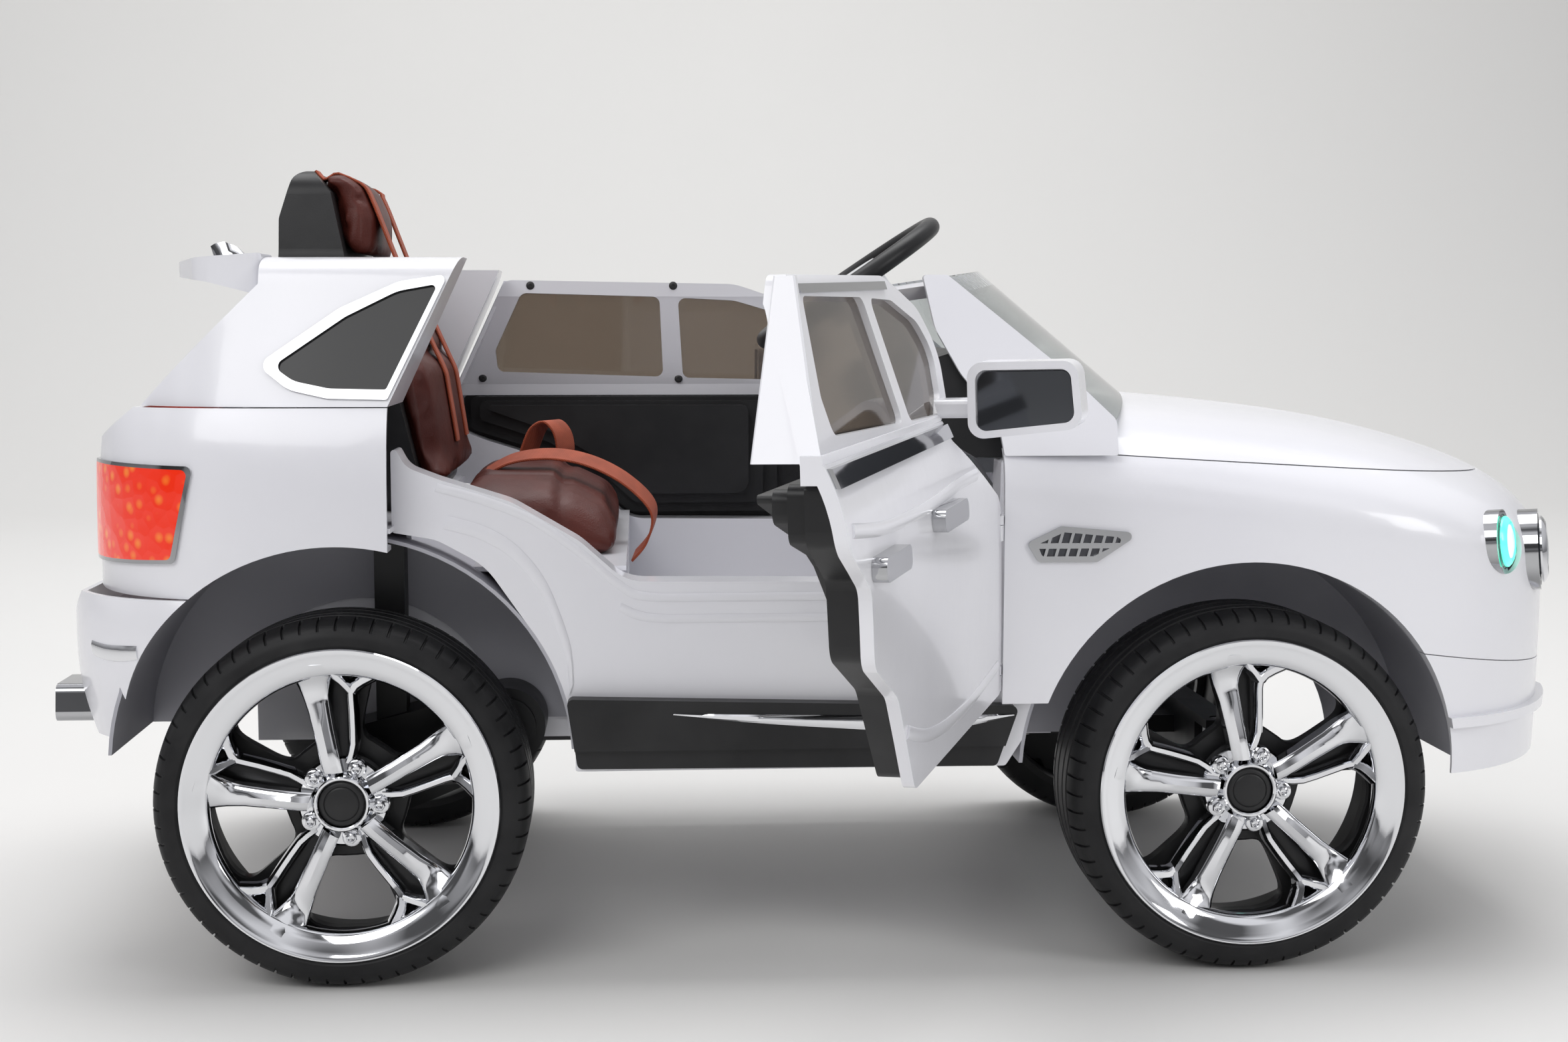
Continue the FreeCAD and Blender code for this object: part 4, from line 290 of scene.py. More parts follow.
def dress_frame():
    for part in frame["record"]["subparts"]:
        node = nodes[part["node"]]
        node.data.materials.clear()
        node.data.materials.append(SLOT_MATERIALS[part["material_slot"]])


dress_frame()


# Mesh helpers, sizes in millimetres
def mm(x, y, z):
    return Vector((x * MM, y * MM, z * MM))


def make_piece(name, mesh, material, body, sharp=38.0):
    bmesh.ops.remove_doubles(mesh, verts=mesh.verts, dist=1e-6)
    bmesh.ops.recalc_face_normals(mesh, faces=mesh.faces)
    data = bpy.data.meshes.new(name)
    mesh.to_mesh(data)
    mesh.free()
    data.polygons.foreach_set("use_smooth", [True] * len(data.polygons))
    data.set_sharp_from_angle(angle=math.radians(sharp))
    data.materials.append(material)
    piece = bpy.data.objects.new(name, data)
    scene.collection.objects.link(piece)
    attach(piece, body)
    return piece


def loft(mesh, rings, ring_closed=True, ends="caps"):
    rows = [[mesh.verts.new(point) for point in ring] for ring in rings]
    count = len(rows[0])
    pairs = list(zip(rows, rows[1:]))
    if ends == "joined":
        pairs.append((rows[-1], rows[0]))
    for first, second in pairs:
        for index in range(count if ring_closed else count - 1):
            following = (index + 1) % count
            mesh.faces.new((first[index], first[following], second[following], second[index]))
    if ends == "caps":
        mesh.faces.new(rows[0])
        mesh.faces.new(list(reversed(rows[-1])))


def smooth_path(points, steps=8):
    path = []
    last = len(points) - 1
    for index in range(last):
        before = points[max(index - 1, 0)]
        start = points[index]
        end = points[index + 1]
        after = points[min(index + 2, last)]
        for step in range(steps):
            share = step / steps
            path.append(0.5 * (2 * start + (end - before) * share
                               + (2 * before - 5 * start + 4 * end - after) * share ** 2
                               + (3 * start - before - 3 * end + after) * share ** 3))
    path.append(points[-1])
    return path


def directions(path):
    last = len(path) - 1
    return [(path[min(i + 1, last)] - path[max(i - 1, 0)]).normalized() for i in range(last + 1)]


# A flat band with rounded edges: width runs along across, thickness along the path's normal
def band(mesh, path, across, width, thickness):
    rings = []
    edge = thickness * 0.5
    outline = [(-0.5 * width, 0.0), (-0.5 * width + edge * 0.6, edge), (0.5 * width - edge * 0.6, edge),
               (0.5 * width, 0.0), (0.5 * width - edge * 0.6, -edge), (-0.5 * width + edge * 0.6, -edge)]
    for point, along in zip(path, directions(path)):
        normal = along.cross(across).normalized()
        rings.append([point + across * u + normal * v for u, v in outline])
    loft(mesh, rings)


def lathe(mesh, profile, steps, place, closed=True):
    rings = []
    for step in range(steps):
        turn = math.tau * step / steps
        rings.append([place(radius, turn, height) for radius, height in profile])
    loft(mesh, rings, ring_closed=closed, ends="joined")


# A flat outline pushed out between two levels, with a chamfer on the outer level
def slab(mesh, outline, low, high, chamfer, place):
    count = len(outline)
    centre = (sum(p[0] for p in outline) / count, sum(p[1] for p in outline) / count)

    def ring(level, shrink):
        points = []
        for u, v in outline:
            reach = math.hypot(u - centre[0], v - centre[1])
            share = max(reach - shrink, 0.0) / reach
            across = centre[0] + (u - centre[0]) * share
            along = centre[1] + (v - centre[1]) * share
            points.append(place(across, along, level))
        return points

    loft(mesh, [ring(low, 0.0), ring(high - chamfer, 0.0), ring(high, chamfer)])


# Wheels: tyre, moulded black wheel with windows, bright trim, cap and nuts
TYRE_RADIUS = 155.0
TYRE_HALF = 52.0
RIM_RADIUS = 131.0
SPOKES = 5
SPOKE_START = math.radians(-1.5)
TREAD_BLOCKS = 64
GROOVE_SHARE = 0.16
GROOVE_DEPTH = 2.2
WHEELS = {"front_right": RIGHT, "front_left": LEFT, "rear_right": RIGHT, "rear_left": LEFT}


def wheel_place(name, side):
    low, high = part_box("wheel_" + name)
    centre = (Vector(low) + Vector(high)) / 2
    middle = Vector((centre.x, side * (max(abs(low[1]), abs(high[1])) - TYRE_HALF * MM), TYRE_RADIUS * MM))

    def place(radius, turn, height):
        return middle + mm(radius * math.sin(turn), side * height, radius * math.cos(turn))

    return place


# Tyre outline: radius, height, and 1 where the tread grooves are cut
TYRE_WALL = [(131, 50, 0), (133.5, 51.6, 0), (139, 51.2, 0), (144, 50.0, 0), (145.5, 48.8, 0)]
TYRE_TREAD = [
    (147, 48.4, 1), (150.5, 45, 1), (153.2, 38, 1), (154.6, 29, 1), (154.8, 27, 0), (152, 26, 0),
    (152, 23, 0), (154.9, 22, 0), (155, 12, 0), (152, 11, 0), (152, 8, 0), (155, 7, 0),
]
TYRE_INNER_WALL = [(145.5, -48.8, 0), (139, -51.2, 0), (131, -52, 0)]
FAR_TREAD = [(radius, -height, groove) for radius, height, groove in reversed(TYRE_TREAD)]
TYRE_PROFILE = TYRE_WALL + TYRE_TREAD + FAR_TREAD + TYRE_INNER_WALL
# Shares of one tread block, and 1 where its groove lies
BLOCK_STEPS = [(0.0, 0), (0.5 - GROOVE_SHARE, 0), (1 - GROOVE_SHARE, 0),
               (1 - GROOVE_SHARE * 0.8, 1), (1 - GROOVE_SHARE * 0.2, 1)]


def tyre(name, place):
    mesh = bmesh.new()
    rings = []
    for block in range(TREAD_BLOCKS):
        for share, groove in BLOCK_STEPS:
            turn = math.tau * (block + share) / TREAD_BLOCKS
            rings.append([place(radius - GROOVE_DEPTH * groove * shoulder, turn, height)
                          for radius, height, shoulder in TYRE_PROFILE])
    loft(mesh, rings, ends="joined")
    piece = make_piece("tyre_" + name, mesh, TYRE, "wheel_" + name, 30)
    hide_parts("wheel_" + name)


DISC_LOW = -4.0
DISC_HIGH = 8.0
BARREL_RADIUS = 122.0
HUB_RADIUS = 24.0
WINDOW_MIDDLE = 83.0
WINDOW_HALF = 31.0
WINDOW_SPREAD = math.radians(22)
WINDOW_TURN = math.radians(36)
WINDOW_STEPS = 48
WINDOW_CHAMFER = 2.0
BARREL_STEPS = 120
HUB_STEPS = 60
BARREL_PROFILE = [
    (BARREL_RADIUS, DISC_LOW), (BARREL_RADIUS, -46), (BARREL_RADIUS + 2, -51), (RIM_RADIUS, -52.0),
    (RIM_RADIUS, 49), (RIM_RADIUS - 4, 47), (BARREL_RADIUS, 40), (BARREL_RADIUS, DISC_HIGH),
]
HUB_PROFILE = [
    (HUB_RADIUS, DISC_LOW), (HUB_RADIUS, -38), (HUB_RADIUS - 2, -40), (9, -40), (9, 29),
    (HUB_RADIUS, 29), (HUB_RADIUS, DISC_HIGH),
]
# Rib sections: radius, half width, height of the top
RIBS = [(HUB_RADIUS - 2, 9, 24), (60, 9, 20), (100, 12, 18), (BARREL_RADIUS + 1, 18, 20)]
RIB_FOOT = DISC_HIGH - 1


def squared(turn, power=0.45):
    flat = math.cos(turn)
    rise = math.sin(turn)
    return math.copysign(abs(flat) ** power, flat), math.copysign(abs(rise) ** power, rise)


def window_edge(radius):
    step = WINDOW_CHAMFER if radius > WINDOW_MIDDLE else -WINDOW_CHAMFER
    return radius * 0.99 + WINDOW_MIDDLE * 0.01 + step


def wheel_disc(mesh, place):
    half = math.pi / SPOKES
    middle = (HUB_RADIUS + BARREL_RADIUS) / 2
    reach = (BARREL_RADIUS - HUB_RADIUS) / 2
    for spoke in range(SPOKES):
        centre = SPOKE_START + WINDOW_TURN + spoke * 2 * half
        outer = []
        inner = []
        for step in range(WINDOW_STEPS):
            turn = math.tau * (step + 0.5) / WINDOW_STEPS
            across, along = squared(turn)
            inner.append((WINDOW_MIDDLE + WINDOW_HALF * along, centre + WINDOW_SPREAD * across))
            size = max(abs(math.cos(turn)), abs(math.sin(turn)))
            outer.append((middle + reach * math.sin(turn) / size, centre + half * math.cos(turn) / size))
        rows = [[place(radius, angle, DISC_LOW) for radius, angle in outer],
                [place(radius, angle, DISC_LOW) for radius, angle in inner],
                [place(radius, angle, DISC_HIGH - WINDOW_CHAMFER) for radius, angle in inner],
                [place(window_edge(radius), angle, DISC_HIGH) for radius, angle in inner],
                [place(radius, angle, DISC_HIGH) for radius, angle in outer]]
        loft(mesh, rows, ends="open")


def wheel_core(name, place):
    mesh = bmesh.new()
    wheel_disc(mesh, place)
    lathe(mesh, BARREL_PROFILE, BARREL_STEPS, place, closed=False)
    lathe(mesh, HUB_PROFILE, HUB_STEPS, place, closed=False)
    for spoke in range(SPOKES):
        turn = SPOKE_START + WINDOW_TURN + (spoke + 0.5) * math.tau / SPOKES
        rings = []
        for radius, width, top in RIBS:
            half = math.atan2(width, radius)
            section = [(-1.0, RIB_FOOT), (-0.8, top - 2), (-0.5, top),
                       (0.5, top), (0.8, top - 2), (1.0, RIB_FOOT)]
            rings.append([place(radius, turn + half * share, height) for share, height in section])
        loft(mesh, rings)
    make_piece("wheel_core_" + name, mesh, BLACK, "wheel_" + name, 35)


RIM_PROFILE = [
    (107, 36), (107, 40), (108, 43.5), (110, 45.5), (116, 48), (122, 50.2), (126, 51.6), (128.2, 52.8),
    (130, 52.8), (131, 51.6), (131, 49), (127, 46), (122, 40), (122, 36),
]
TRIM_HUB_PROFILE = [
    (19.7, 29), (19.7, 41.4), (20.6, 42.4), (22.2, 42.4), (23.2, 41.2), (23.8, 34), (26, 30.5),
    (36, 29.5), (38, 27), (38, 16), (30, 16), (30, 29),
]
RIM_STEPS = 160
TRIM_HUB_STEPS = 72
# Blade sections: radius, left edge, right edge, height of the face, depth of the flank
BLADE = [
    (26, -14, 2.0, 40, 14), (34, -15.5, 0.5, 41.5, 15), (48, -18, -2, 41, 16), (62, -21, -4.5, 39.5, 17),
    (76, -24, -6.5, 38, 17), (84, -26.5, -7.5, 37, 16), (90, -28.5, -8, 36.2, 14),
    (96, -30.5, -7, 37.2, 12), (103, -33, -5, 40.5, 10), (108, -35, -2.5, 43.6, 8),
    (113, -37, 0.5, 46.4, 7), (118, -39, 3, 48.2, 6),
]
BLADE_CROWN = 1.4
# Ridges beside a blade: radius, offset, height of the crest
BRANCH = [(32, 5.5, 31), (40, 8.5, 32.5), (48, 10.6, 33.5), (60, 11, 34), (74, 11, 34), (86, 10.8, 35),
          (95, 11.2, 38)]
NEAR_FORK = [(93, 11.2, 37.4), (100, 6, 40.6), (107, 0, 44.0), (113, -3, 46.6)]
FAR_FORK = [(93, 11.2, 37.4), (98, 15, 39.0), (102, 21, 41.2), (106, 29, 44.2), (111, 34, 46.6)]
# Each ridge with its half width and the depth of its flanks
RIDGES = [(BRANCH, 3.2, 12), (NEAR_FORK, 3.4, 10), (FAR_FORK, 4.2, 10)]
NUT_RADIUS = 30.5
NUT_TURN = math.radians(24.5)
NUT_CORNERS = 6
# Nut sections: reach, height, share of the reach at the flats
NUT_RINGS = [(4.9, 30, 0.88), (4.9, 36.0, 0.88), (4.2, 37.2, 0.88), (3.0, 37.6, 1), (2.4, 36.2, 1),
             (0.8, 35.6, 1)]
# Round pad under each nut: reach, height
PAD_RINGS = [(8.2, 22), (8.2, 31.5), (7.4, 33.5), (6.2, 34.2)]
PAD_STEPS = 20
CAP_PROFILE = [
    (0.01, 31), (0.01, 41.2), (12.6, 41.0), (13.6, 40.6), (14.2, 40.0), (14.8, 40.6), (16.8, 40.4),
    (18.4, 39.6), (19.2, 38.2), (19.6, 36.5), (19.6, 31),
]
CAP_STEPS = 72


def spoke_place(place, turn):
    def point(radius, offset, height):
        return place(math.hypot(radius, offset), turn + math.atan2(offset, radius), height)
    return point


def blade(mesh, point):
    rings = []
    for radius, left, right, top, depth in BLADE:
        section = [(left, depth), (left, 2.6), (left + 1.6, 0.8), (left + 4, 0),
                   ((left + right) / 2, -BLADE_CROWN),
                   (right - 4, 0), (right - 1.6, 0.8), (right, 2.6), (right, depth)]
        rings.append([point(radius, offset, top - down) for offset, down in section])
    loft(mesh, rings)


def ridge(mesh, point, path, half, depth):
    rings = []
    last = len(path) - 1
    section = [(-half * 1.5, depth), (-half, 2.2), (-half * 0.55, 0.4),
               (half * 0.55, 0.4), (half, 2.2), (half * 1.5, depth)]
    for index, (radius, offset, top) in enumerate(path):
        before = path[max(index - 1, 0)]
        after = path[min(index + 1, last)]
        length = math.hypot(after[0] - before[0], after[1] - before[1])
        across = (-(after[1] - before[1]) / length, (after[0] - before[0]) / length)
        rings.append([point(radius + across[0] * reach, offset + across[1] * reach, top - down)
                      for reach, down in section])
    loft(mesh, rings)


def nut_turn(spoke):
    return SPOKE_START + NUT_TURN + spoke * math.tau / SPOKES


def nut_pad(mesh, point):
    rings = []
    for reach, height in PAD_RINGS:
        turns = [math.tau * step / PAD_STEPS for step in range(PAD_STEPS)]
        rings.append([point(NUT_RADIUS + reach * math.cos(turn), reach * math.sin(turn), height)
                      for turn in turns])
    loft(mesh, rings)


def wheel_trim(name, place):
    mesh = bmesh.new()
    lathe(mesh, RIM_PROFILE, RIM_STEPS, place)
    lathe(mesh, TRIM_HUB_PROFILE, TRIM_HUB_STEPS, place)
    for spoke in range(SPOKES):
        point = spoke_place(place, SPOKE_START + spoke * math.tau / SPOKES)
        blade(mesh, point)
        for path, half, depth in RIDGES:
            ridge(mesh, point, path, half, depth)
        nut_pad(mesh, spoke_place(place, nut_turn(spoke)))
    piece = make_piece("wheel_trim_cover_" + name, mesh, CHROME, "wheel_" + name, 32)
    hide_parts("wheel_trim_" + name)


def wheel_nuts(name, place):
    mesh = bmesh.new()
    steps = 2 * NUT_CORNERS
    for spoke in range(SPOKES):
        point = spoke_place(place, nut_turn(spoke))
        rings = []
        for reach, height, flat in NUT_RINGS:
            ring = []
            for step in range(steps):
                turn = math.tau * step / steps
                out = reach * (flat if step % 2 else 1.0)
                ring.append(point(NUT_RADIUS + out * math.cos(turn), out * math.sin(turn), height))
            rings.append(ring)
        loft(mesh, rings)
    make_piece("wheel_nuts_" + name, mesh, CHROME, "wheel_" + name, 30)


def wheel_cap(name, place):
    mesh = bmesh.new()
    lathe(mesh, CAP_PROFILE, CAP_STEPS, place, closed=False)
    make_piece("wheel_cap_" + name, mesh, BLACK, "wheel_" + name, 40)


def wheels():
    for name, side in WHEELS.items():
        place = wheel_place(name, side)
        tyre(name, place)
        wheel_core(name, place)
        wheel_trim(name, place)
        wheel_nuts(name, place)
        wheel_cap(name, place)


# Seat: stuffed pads blown up from their solids, with sewn lines, in metres
PAD_VOXEL = 0.005
PAD_PRESSURE = 4.0
PAD_FRAMES = 20
PAD_STIFFNESS = 22
PAD_INSET = 0.003
PAD_PUFF = 0.006
HEAD_INSET = 0.0025
HEAD_PUFF = 0.005
SEAM_REACH = 0.012
SEAM_DEPTH = 0.006
CROSS_SEAM_DEPTH = 0.005
SEAT_SEAM_Y = 0.100
SEAT_SEAM_X = -0.205
BACK_SEAM_SHARE = 0.6


def copy_mesh(name, node):
    piece = bpy.data.objects.new(name, nodes[node].data.copy())
    scene.collection.objects.link(piece)
    piece.matrix_world = nodes[node].matrix_world.copy()
    return piece


def settle(piece):
    bpy.context.view_layer.update()
    graph = bpy.context.evaluated_depsgraph_get()
    data = bpy.data.meshes.new_from_object(piece.evaluated_get(graph))
    piece.modifiers.clear()
    piece.data = data


def blow_up(piece, shrink, cap):
    remesh = piece.modifiers.new("even", "REMESH")
    remesh.mode = "VOXEL"
    remesh.voxel_size = PAD_VOXEL
    settle(piece)
    for vertex in piece.data.vertices:
        vertex.co -= vertex.normal * shrink
    start = [vertex.co.copy() for vertex in piece.data.vertices]
    cloth = piece.modifiers.new("stuffing", "CLOTH")
    cloth.settings.use_pressure = True
    cloth.settings.uniform_pressure_force = PAD_PRESSURE
    cloth.settings.effector_weights.gravity = 0
    cloth.settings.tension_stiffness = PAD_STIFFNESS
    cloth.settings.compression_stiffness = PAD_STIFFNESS
    for step in range(1, PAD_FRAMES + 1):
        scene.frame_set(step)
    settle(piece)
    scene.frame_set(1)
    for vertex, place in zip(piece.data.vertices, start):
        move = vertex.co - place
        if move.length > cap:
            vertex.co = place + move * (cap / move.length)


def stuffed(name, node, shrink, cap, hollows=()):
    piece = copy_mesh(name, node)
    blow_up(piece, shrink, cap)
    for hollow in hollows:
        for vertex in piece.data.vertices:
            vertex.co += hollow(vertex.co)
    piece.data.materials.clear()
    piece.data.materials.append(LEATHER)
    piece.data.polygons.foreach_set("use_smooth", [True] * len(piece.data.polygons))
    finer = piece.modifiers.new("finer", "SUBSURF")
    finer.levels = 1
    finer.render_levels = 1
    settle(piece)
    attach(piece, "car_body")
    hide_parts(node)
    return piece


# A sewn line: the surface dips where a plane through the pad crosses it
def sewn(axis, level, depth, reach):
    def dip(place):
        share = abs(place[axis] - level) / reach
        if share >= 1:
            return Vector((0, 0, 0))
        drop = -depth * (1 - share) ** 2
        return Vector((drop, 0, 0)) if axis == 2 else Vector((0, 0, drop))
    return dip


def seat():
    cushion_seams = [sewn(1, side * SEAT_SEAM_Y, SEAM_DEPTH, SEAM_REACH) for side in (RIGHT, LEFT)]
    cushion_seams.append(sewn(0, SEAT_SEAM_X, CROSS_SEAM_DEPTH, SEAM_REACH))
    low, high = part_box("seat_backrest")
    back_seams = [sewn(2, low.z + BACK_SEAM_SHARE * (high.z - low.z), SEAM_DEPTH, SEAM_REACH)]
    return {
        "cushion": stuffed("cushion_pad", "seat_cushion", PAD_INSET, PAD_PUFF, cushion_seams),
        "backrest": stuffed("backrest_pad", "seat_backrest", PAD_INSET, PAD_PUFF, back_seams),
        "headrest": stuffed("headrest_pad", "headrest", HEAD_INSET, HEAD_PUFF),
    }


# Harness webbing: a lap strap and a loop by points in x and z, and two straps that lie on the seat back
STRAP_THICK = 2.2
STRAP_WIDE = 26.0
STRAP_GAP = 0.4
LAP_Y = -72.0
LAP_PATH = [(-278, 411), (-252, 424), (-216, 428), (-180, 421), (-146, 403), (-122, 377), (-126, 350),
            (-140, 332)]
LAP_LEAN = (0.18, 1.0, 0.34)
LOOP_Y = 50.0
LOOP_WIDE = 34.0
LOOP_PATH = [(-246, 413), (-242, 428), (-234, 446), (-222, 453), (-212, 444), (-208, 428), (-210, 413)]
LOOP_LEAN = (0.55, 1.0, 0.0)
SHOULDER_Y = 52.0
# Heights and reaches of the shoulder straps, in metres
SHOULDER_LOW = 0.440
SHOULDER_STEP = 0.007
SHOULDER_TURN = 0.004
HEAD_REAR_X = -0.434
ABOVE_SEAT = 1.0
TAUT_ROUNDS = 60


def surface_of(*pieces):
    points = []
    faces = []
    for piece in pieces:
        start = len(points)
        points += [vertex.co.copy() for vertex in piece.data.vertices]
        faces += [[start + index for index in face.vertices] for face in piece.data.polygons]
    return BVHTree.FromPolygons(points, faces)


def pull_taut(values, rounds):
    for _ in range(rounds):
        for index in range(1, len(values) - 1):
            values[index] = max(values[index], (values[index - 1] + values[index + 1]) / 2)
    return values


def shoulder_route(surface, y, lift):
    heights = []
    reach = []
    z = SHOULDER_LOW
    while True:
        place = surface.ray_cast(Vector((0.0, y, z)), Vector((-1, 0, 0)))[0]
        if place is None or place.x < HEAD_REAR_X:
            break
        heights.append(z)
        reach.append(place.x)
        z += SHOULDER_STEP
    reach = pull_taut(reach, TAUT_ROUNDS)
    route = [Vector((x + lift, y, height)) for x, height in zip(reach, heights)]
    x = route[-1].x - SHOULDER_STEP
    tops = []
    while x > HEAD_REAR_X:
        place = surface.ray_cast(Vector((x, y, ABOVE_SEAT)), Vector((0, 0, -1)))[0]
        tops.append((x, place.z))
        x -= SHOULDER_STEP
    route = [point for point in route if point.z < tops[0][1] - SHOULDER_TURN]
    return route + [Vector((x, y, z + lift)) for x, z in tops]


def path_length(path):
    return sum((second - first).length for first, second in zip(path, path[1:]))


def webbing_strap(name, path, width, across=(0, 1, 0)):
    mesh = bmesh.new()
    band(mesh, path, Vector(across).normalized(), width * MM, STRAP_THICK * MM)
    strap = make_piece(name, mesh, WEBBING, "car_body", 50)
    path_length(path)
    return strap


def straps(pads):
    head = surface_of(pads["backrest"], pads["headrest"], nodes["seat_shell"])
    lift = (STRAP_THICK / 2 + STRAP_GAP) * MM
    lap = smooth_path([mm(x, LAP_Y, z) for x, z in LAP_PATH])
    loop = smooth_path([mm(x, LOOP_Y, z) for x, z in LOOP_PATH])
    first = webbing_strap("strap_lap", lap, STRAP_WIDE, LAP_LEAN)
    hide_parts("seat_belts")
    webbing_strap("strap_loop", loop, LOOP_WIDE, LOOP_LEAN)
    for side, word in SIDES:
        route = smooth_path(shoulder_route(head, side * SHOULDER_Y * MM, lift), 2)
        webbing_strap("strap_shoulder_" + word, route, STRAP_WIDE)


# Thin pieces that lie on a surface, seen square from one side: two edge lines of equal count, in x and z
STRIP_STEPS = 10
STRIP_ACROSS = 4
STRIP_SINK = 0.6
STRIP_EDGE = 0.35
BESIDE_CAR = 700.0


def smooth_line(points):
    path = smooth_path([Vector((x, 0, z)) for x, z in points], STRIP_STEPS)
    return [(point.x, point.z) for point in path]


def raised_strip(name, node, low, high, side, lift, material, body="car_body", turn=Matrix.Identity(4)):
    surface = surface_of(nodes[node])
    inward = turn.to_3x3() @ Vector((0, -side, 0))
    mesh = bmesh.new()
    rings = []
    for first, second in zip(smooth_line(low), smooth_line(high)):
        row = []
        for step in range(STRIP_ACROSS + 1):
            share = step / STRIP_ACROSS
            x = first[0] + (second[0] - first[0]) * share
            z = first[1] + (second[1] - first[1]) * share
            row.append(surface.ray_cast(turn @ mm(x, side * BESIDE_CAR, z), inward))
        if any(hit[0] is None for hit in row):
            continue
        top = [hit[0] + hit[1] * (lift * (STRIP_EDGE if index in (0, STRIP_ACROSS) else 1.0) * MM)
               for index, hit in enumerate(row)]
        under = [hit[0] - hit[1] * (STRIP_SINK * MM) for hit in reversed(row)]
        rings.append(top + under)
    loft(mesh, rings)
    return make_piece(name, mesh, material, body, 35)


def below(line, drop):
    return [(x - drop * 0.35, z - drop) for x, z in line]


# Bright spear on each side skirt and bright band on each end of the rear bumper
SPEAR_LOW = [(-108, 226.0), (-60, 220.5), (20, 214.0), (110, 210.0), (178, 222.0)]
SPEAR_HIGH = [(-107, 227.5), (-60, 226.0), (20, 224.5), (110, 223.0), (178, 223.5)]
SPEAR_LIFT = 2.0
BAND_LOW = [(-586, 276), (-572, 274), (-554, 275), (-536, 279)]
BAND_HIGH = [(-588, 288), (-572, 287), (-554, 288), (-537, 289)]
BAND_LIFT = 1.6


def bright_strips():
    for side, word in SIDES:
        raised_strip("skirt_spear_" + word, "side_skirts", SPEAR_LOW, SPEAR_HIGH, side, SPEAR_LIFT, CHROME)
        raised_strip("bumper_band_" + word, "rear_bumper", BAND_LOW, BAND_HIGH, side, BAND_LIFT, CHROME)


# Moulded lips on the sill's outer face: along its curved top, a second one below, and the wheel arch flare
LIP_TOP = [(-300, 419), (-262, 408), (-221, 391), (-180, 362), (-152, 338), (-128, 327), (-60, 326),
           (60, 326), (150, 326)]
LOWER_LIP = [(-150, 318), (-124, 309), (-60, 308), (60, 308), (150, 308)]
FLARE = [(-292, 392), (-262, 383), (-236, 367), (-214, 340), (-201, 310), (-192, 280), (-190, 252)]
# Each lip with its upper line, width and lift
LIPS = {
    "sill_lip": (LIP_TOP, 7.0, 1.4),
    "sill_step": (LOWER_LIP, 7.0, 1.2),
    "arch_flare": (FLARE, 11.0, 1.4),
}


def sill_lips():
    for side, word in SIDES:
        for name, (line, width, lift) in LIPS.items():
            raised_strip("%s_%s" % (name, word), "floor_tub", below(line, width), line, side, lift, WHITE)


# Doors are described shut, and the right one is turned about its hinge to its open rest
HINGE = Vector((0.160, -0.328, 0.350))
HINGE_LEAN = math.radians(2)
DOOR_OPEN = math.radians(70)
DOORS = {"door_right": RIGHT, "door_left": LEFT}


def door_place(side):
    if side == LEFT:
        return Matrix.Identity(4)
    axis = Vector((0, -math.sin(HINGE_LEAN), math.cos(HINGE_LEAN)))
    return Matrix.Translation(HINGE) @ Matrix.Rotation(DOOR_OPEN, 4, axis) @ Matrix.Translation(-HINGE)


# Mirror glass: outline in y and z, and the x of its back
MIRROR_OUTLINE = [(-418, 482), (-415, 519), (-350, 519), (-345, 513), (-345, 476), (-350, 474.5),
                  (-408, 479)]
MIRROR_BACK = 3.8
MIRROR_THICK = 2.2
MIRROR_CHAMFER = 0.8
MIRROR_ROUND = 7.0


def rounded(points, radius, steps=5):
    count = len(points)
    outline = []
    for index in range(count):
        corner = Vector(points[index])
        before = Vector(points[index - 1]) - corner
        after = Vector(points[(index + 1) % count]) - corner
        reach = min(radius, before.length * 0.45, after.length * 0.45)
        start = corner + before.normalized() * reach
        end = corner + after.normalized() * reach
        for step in range(steps + 1):
            share = step / steps
            point = start * (1 - share) ** 2 + corner * 2 * share * (1 - share) + end * share ** 2
            outline.append(tuple(point))
    return outline


def mirror_glass(body, side):
    turn = door_place(side)
    mesh = bmesh.new()

    def place(y, z, level):
        return turn @ mm(MIRROR_BACK - level, -side * y, z)

    slab(mesh, rounded(MIRROR_OUTLINE, MIRROR_ROUND), 0.0, MIRROR_THICK, MIRROR_CHAMFER, place)
    make_piece("mirror_glass_" + body, mesh, MIRROR, body, 30)


# The white return behind the door's window frame, at the belt and at the roof: x, z, outer y, inner y
RETURN_LOW = (-333, 483, -314, -270)
RETURN_HIGH = (-281, 595, -287, -273)
RETURN_THICK = 5.0
RETURN_SOFT = 1.2


def window_return(body, side):
    turn = door_place(side)
    mesh = bmesh.new()
    rings = []
    for x, z, outer, inner in (RETURN_LOW, RETURN_HIGH):
        section = [(x + RETURN_SOFT, outer), (x, outer + RETURN_SOFT), (x, inner - RETURN_SOFT),
                   (x + RETURN_SOFT, inner), (x + RETURN_THICK, inner), (x + RETURN_THICK, outer)]
        rings.append([turn @ mm(u, -side * v, z) for u, v in section])
    loft(mesh, rings)
    make_piece("window_return_" + body, mesh, WHITE, body, 30)


# Soft crease lines raised on the door skin, in x and z as the door stands shut
CREASES = {
    "upper": [(-322, 446), (-240, 438), (-120, 436), (0, 440), (96, 440)],
    "lower": [(-214, 300), (-120, 276), (0, 268), (140, 274)],
}
CREASE_WIDTH = 9.0
CREASE_LIFT = 1.8


def door_creases(body, side):
    for name, line in CREASES.items():
        raised_strip("%s_crease_%s" % (name, body), body + "_shell", below(line, CREASE_WIDTH), line, side,
                     CREASE_LIFT, WHITE, body, door_place(side))


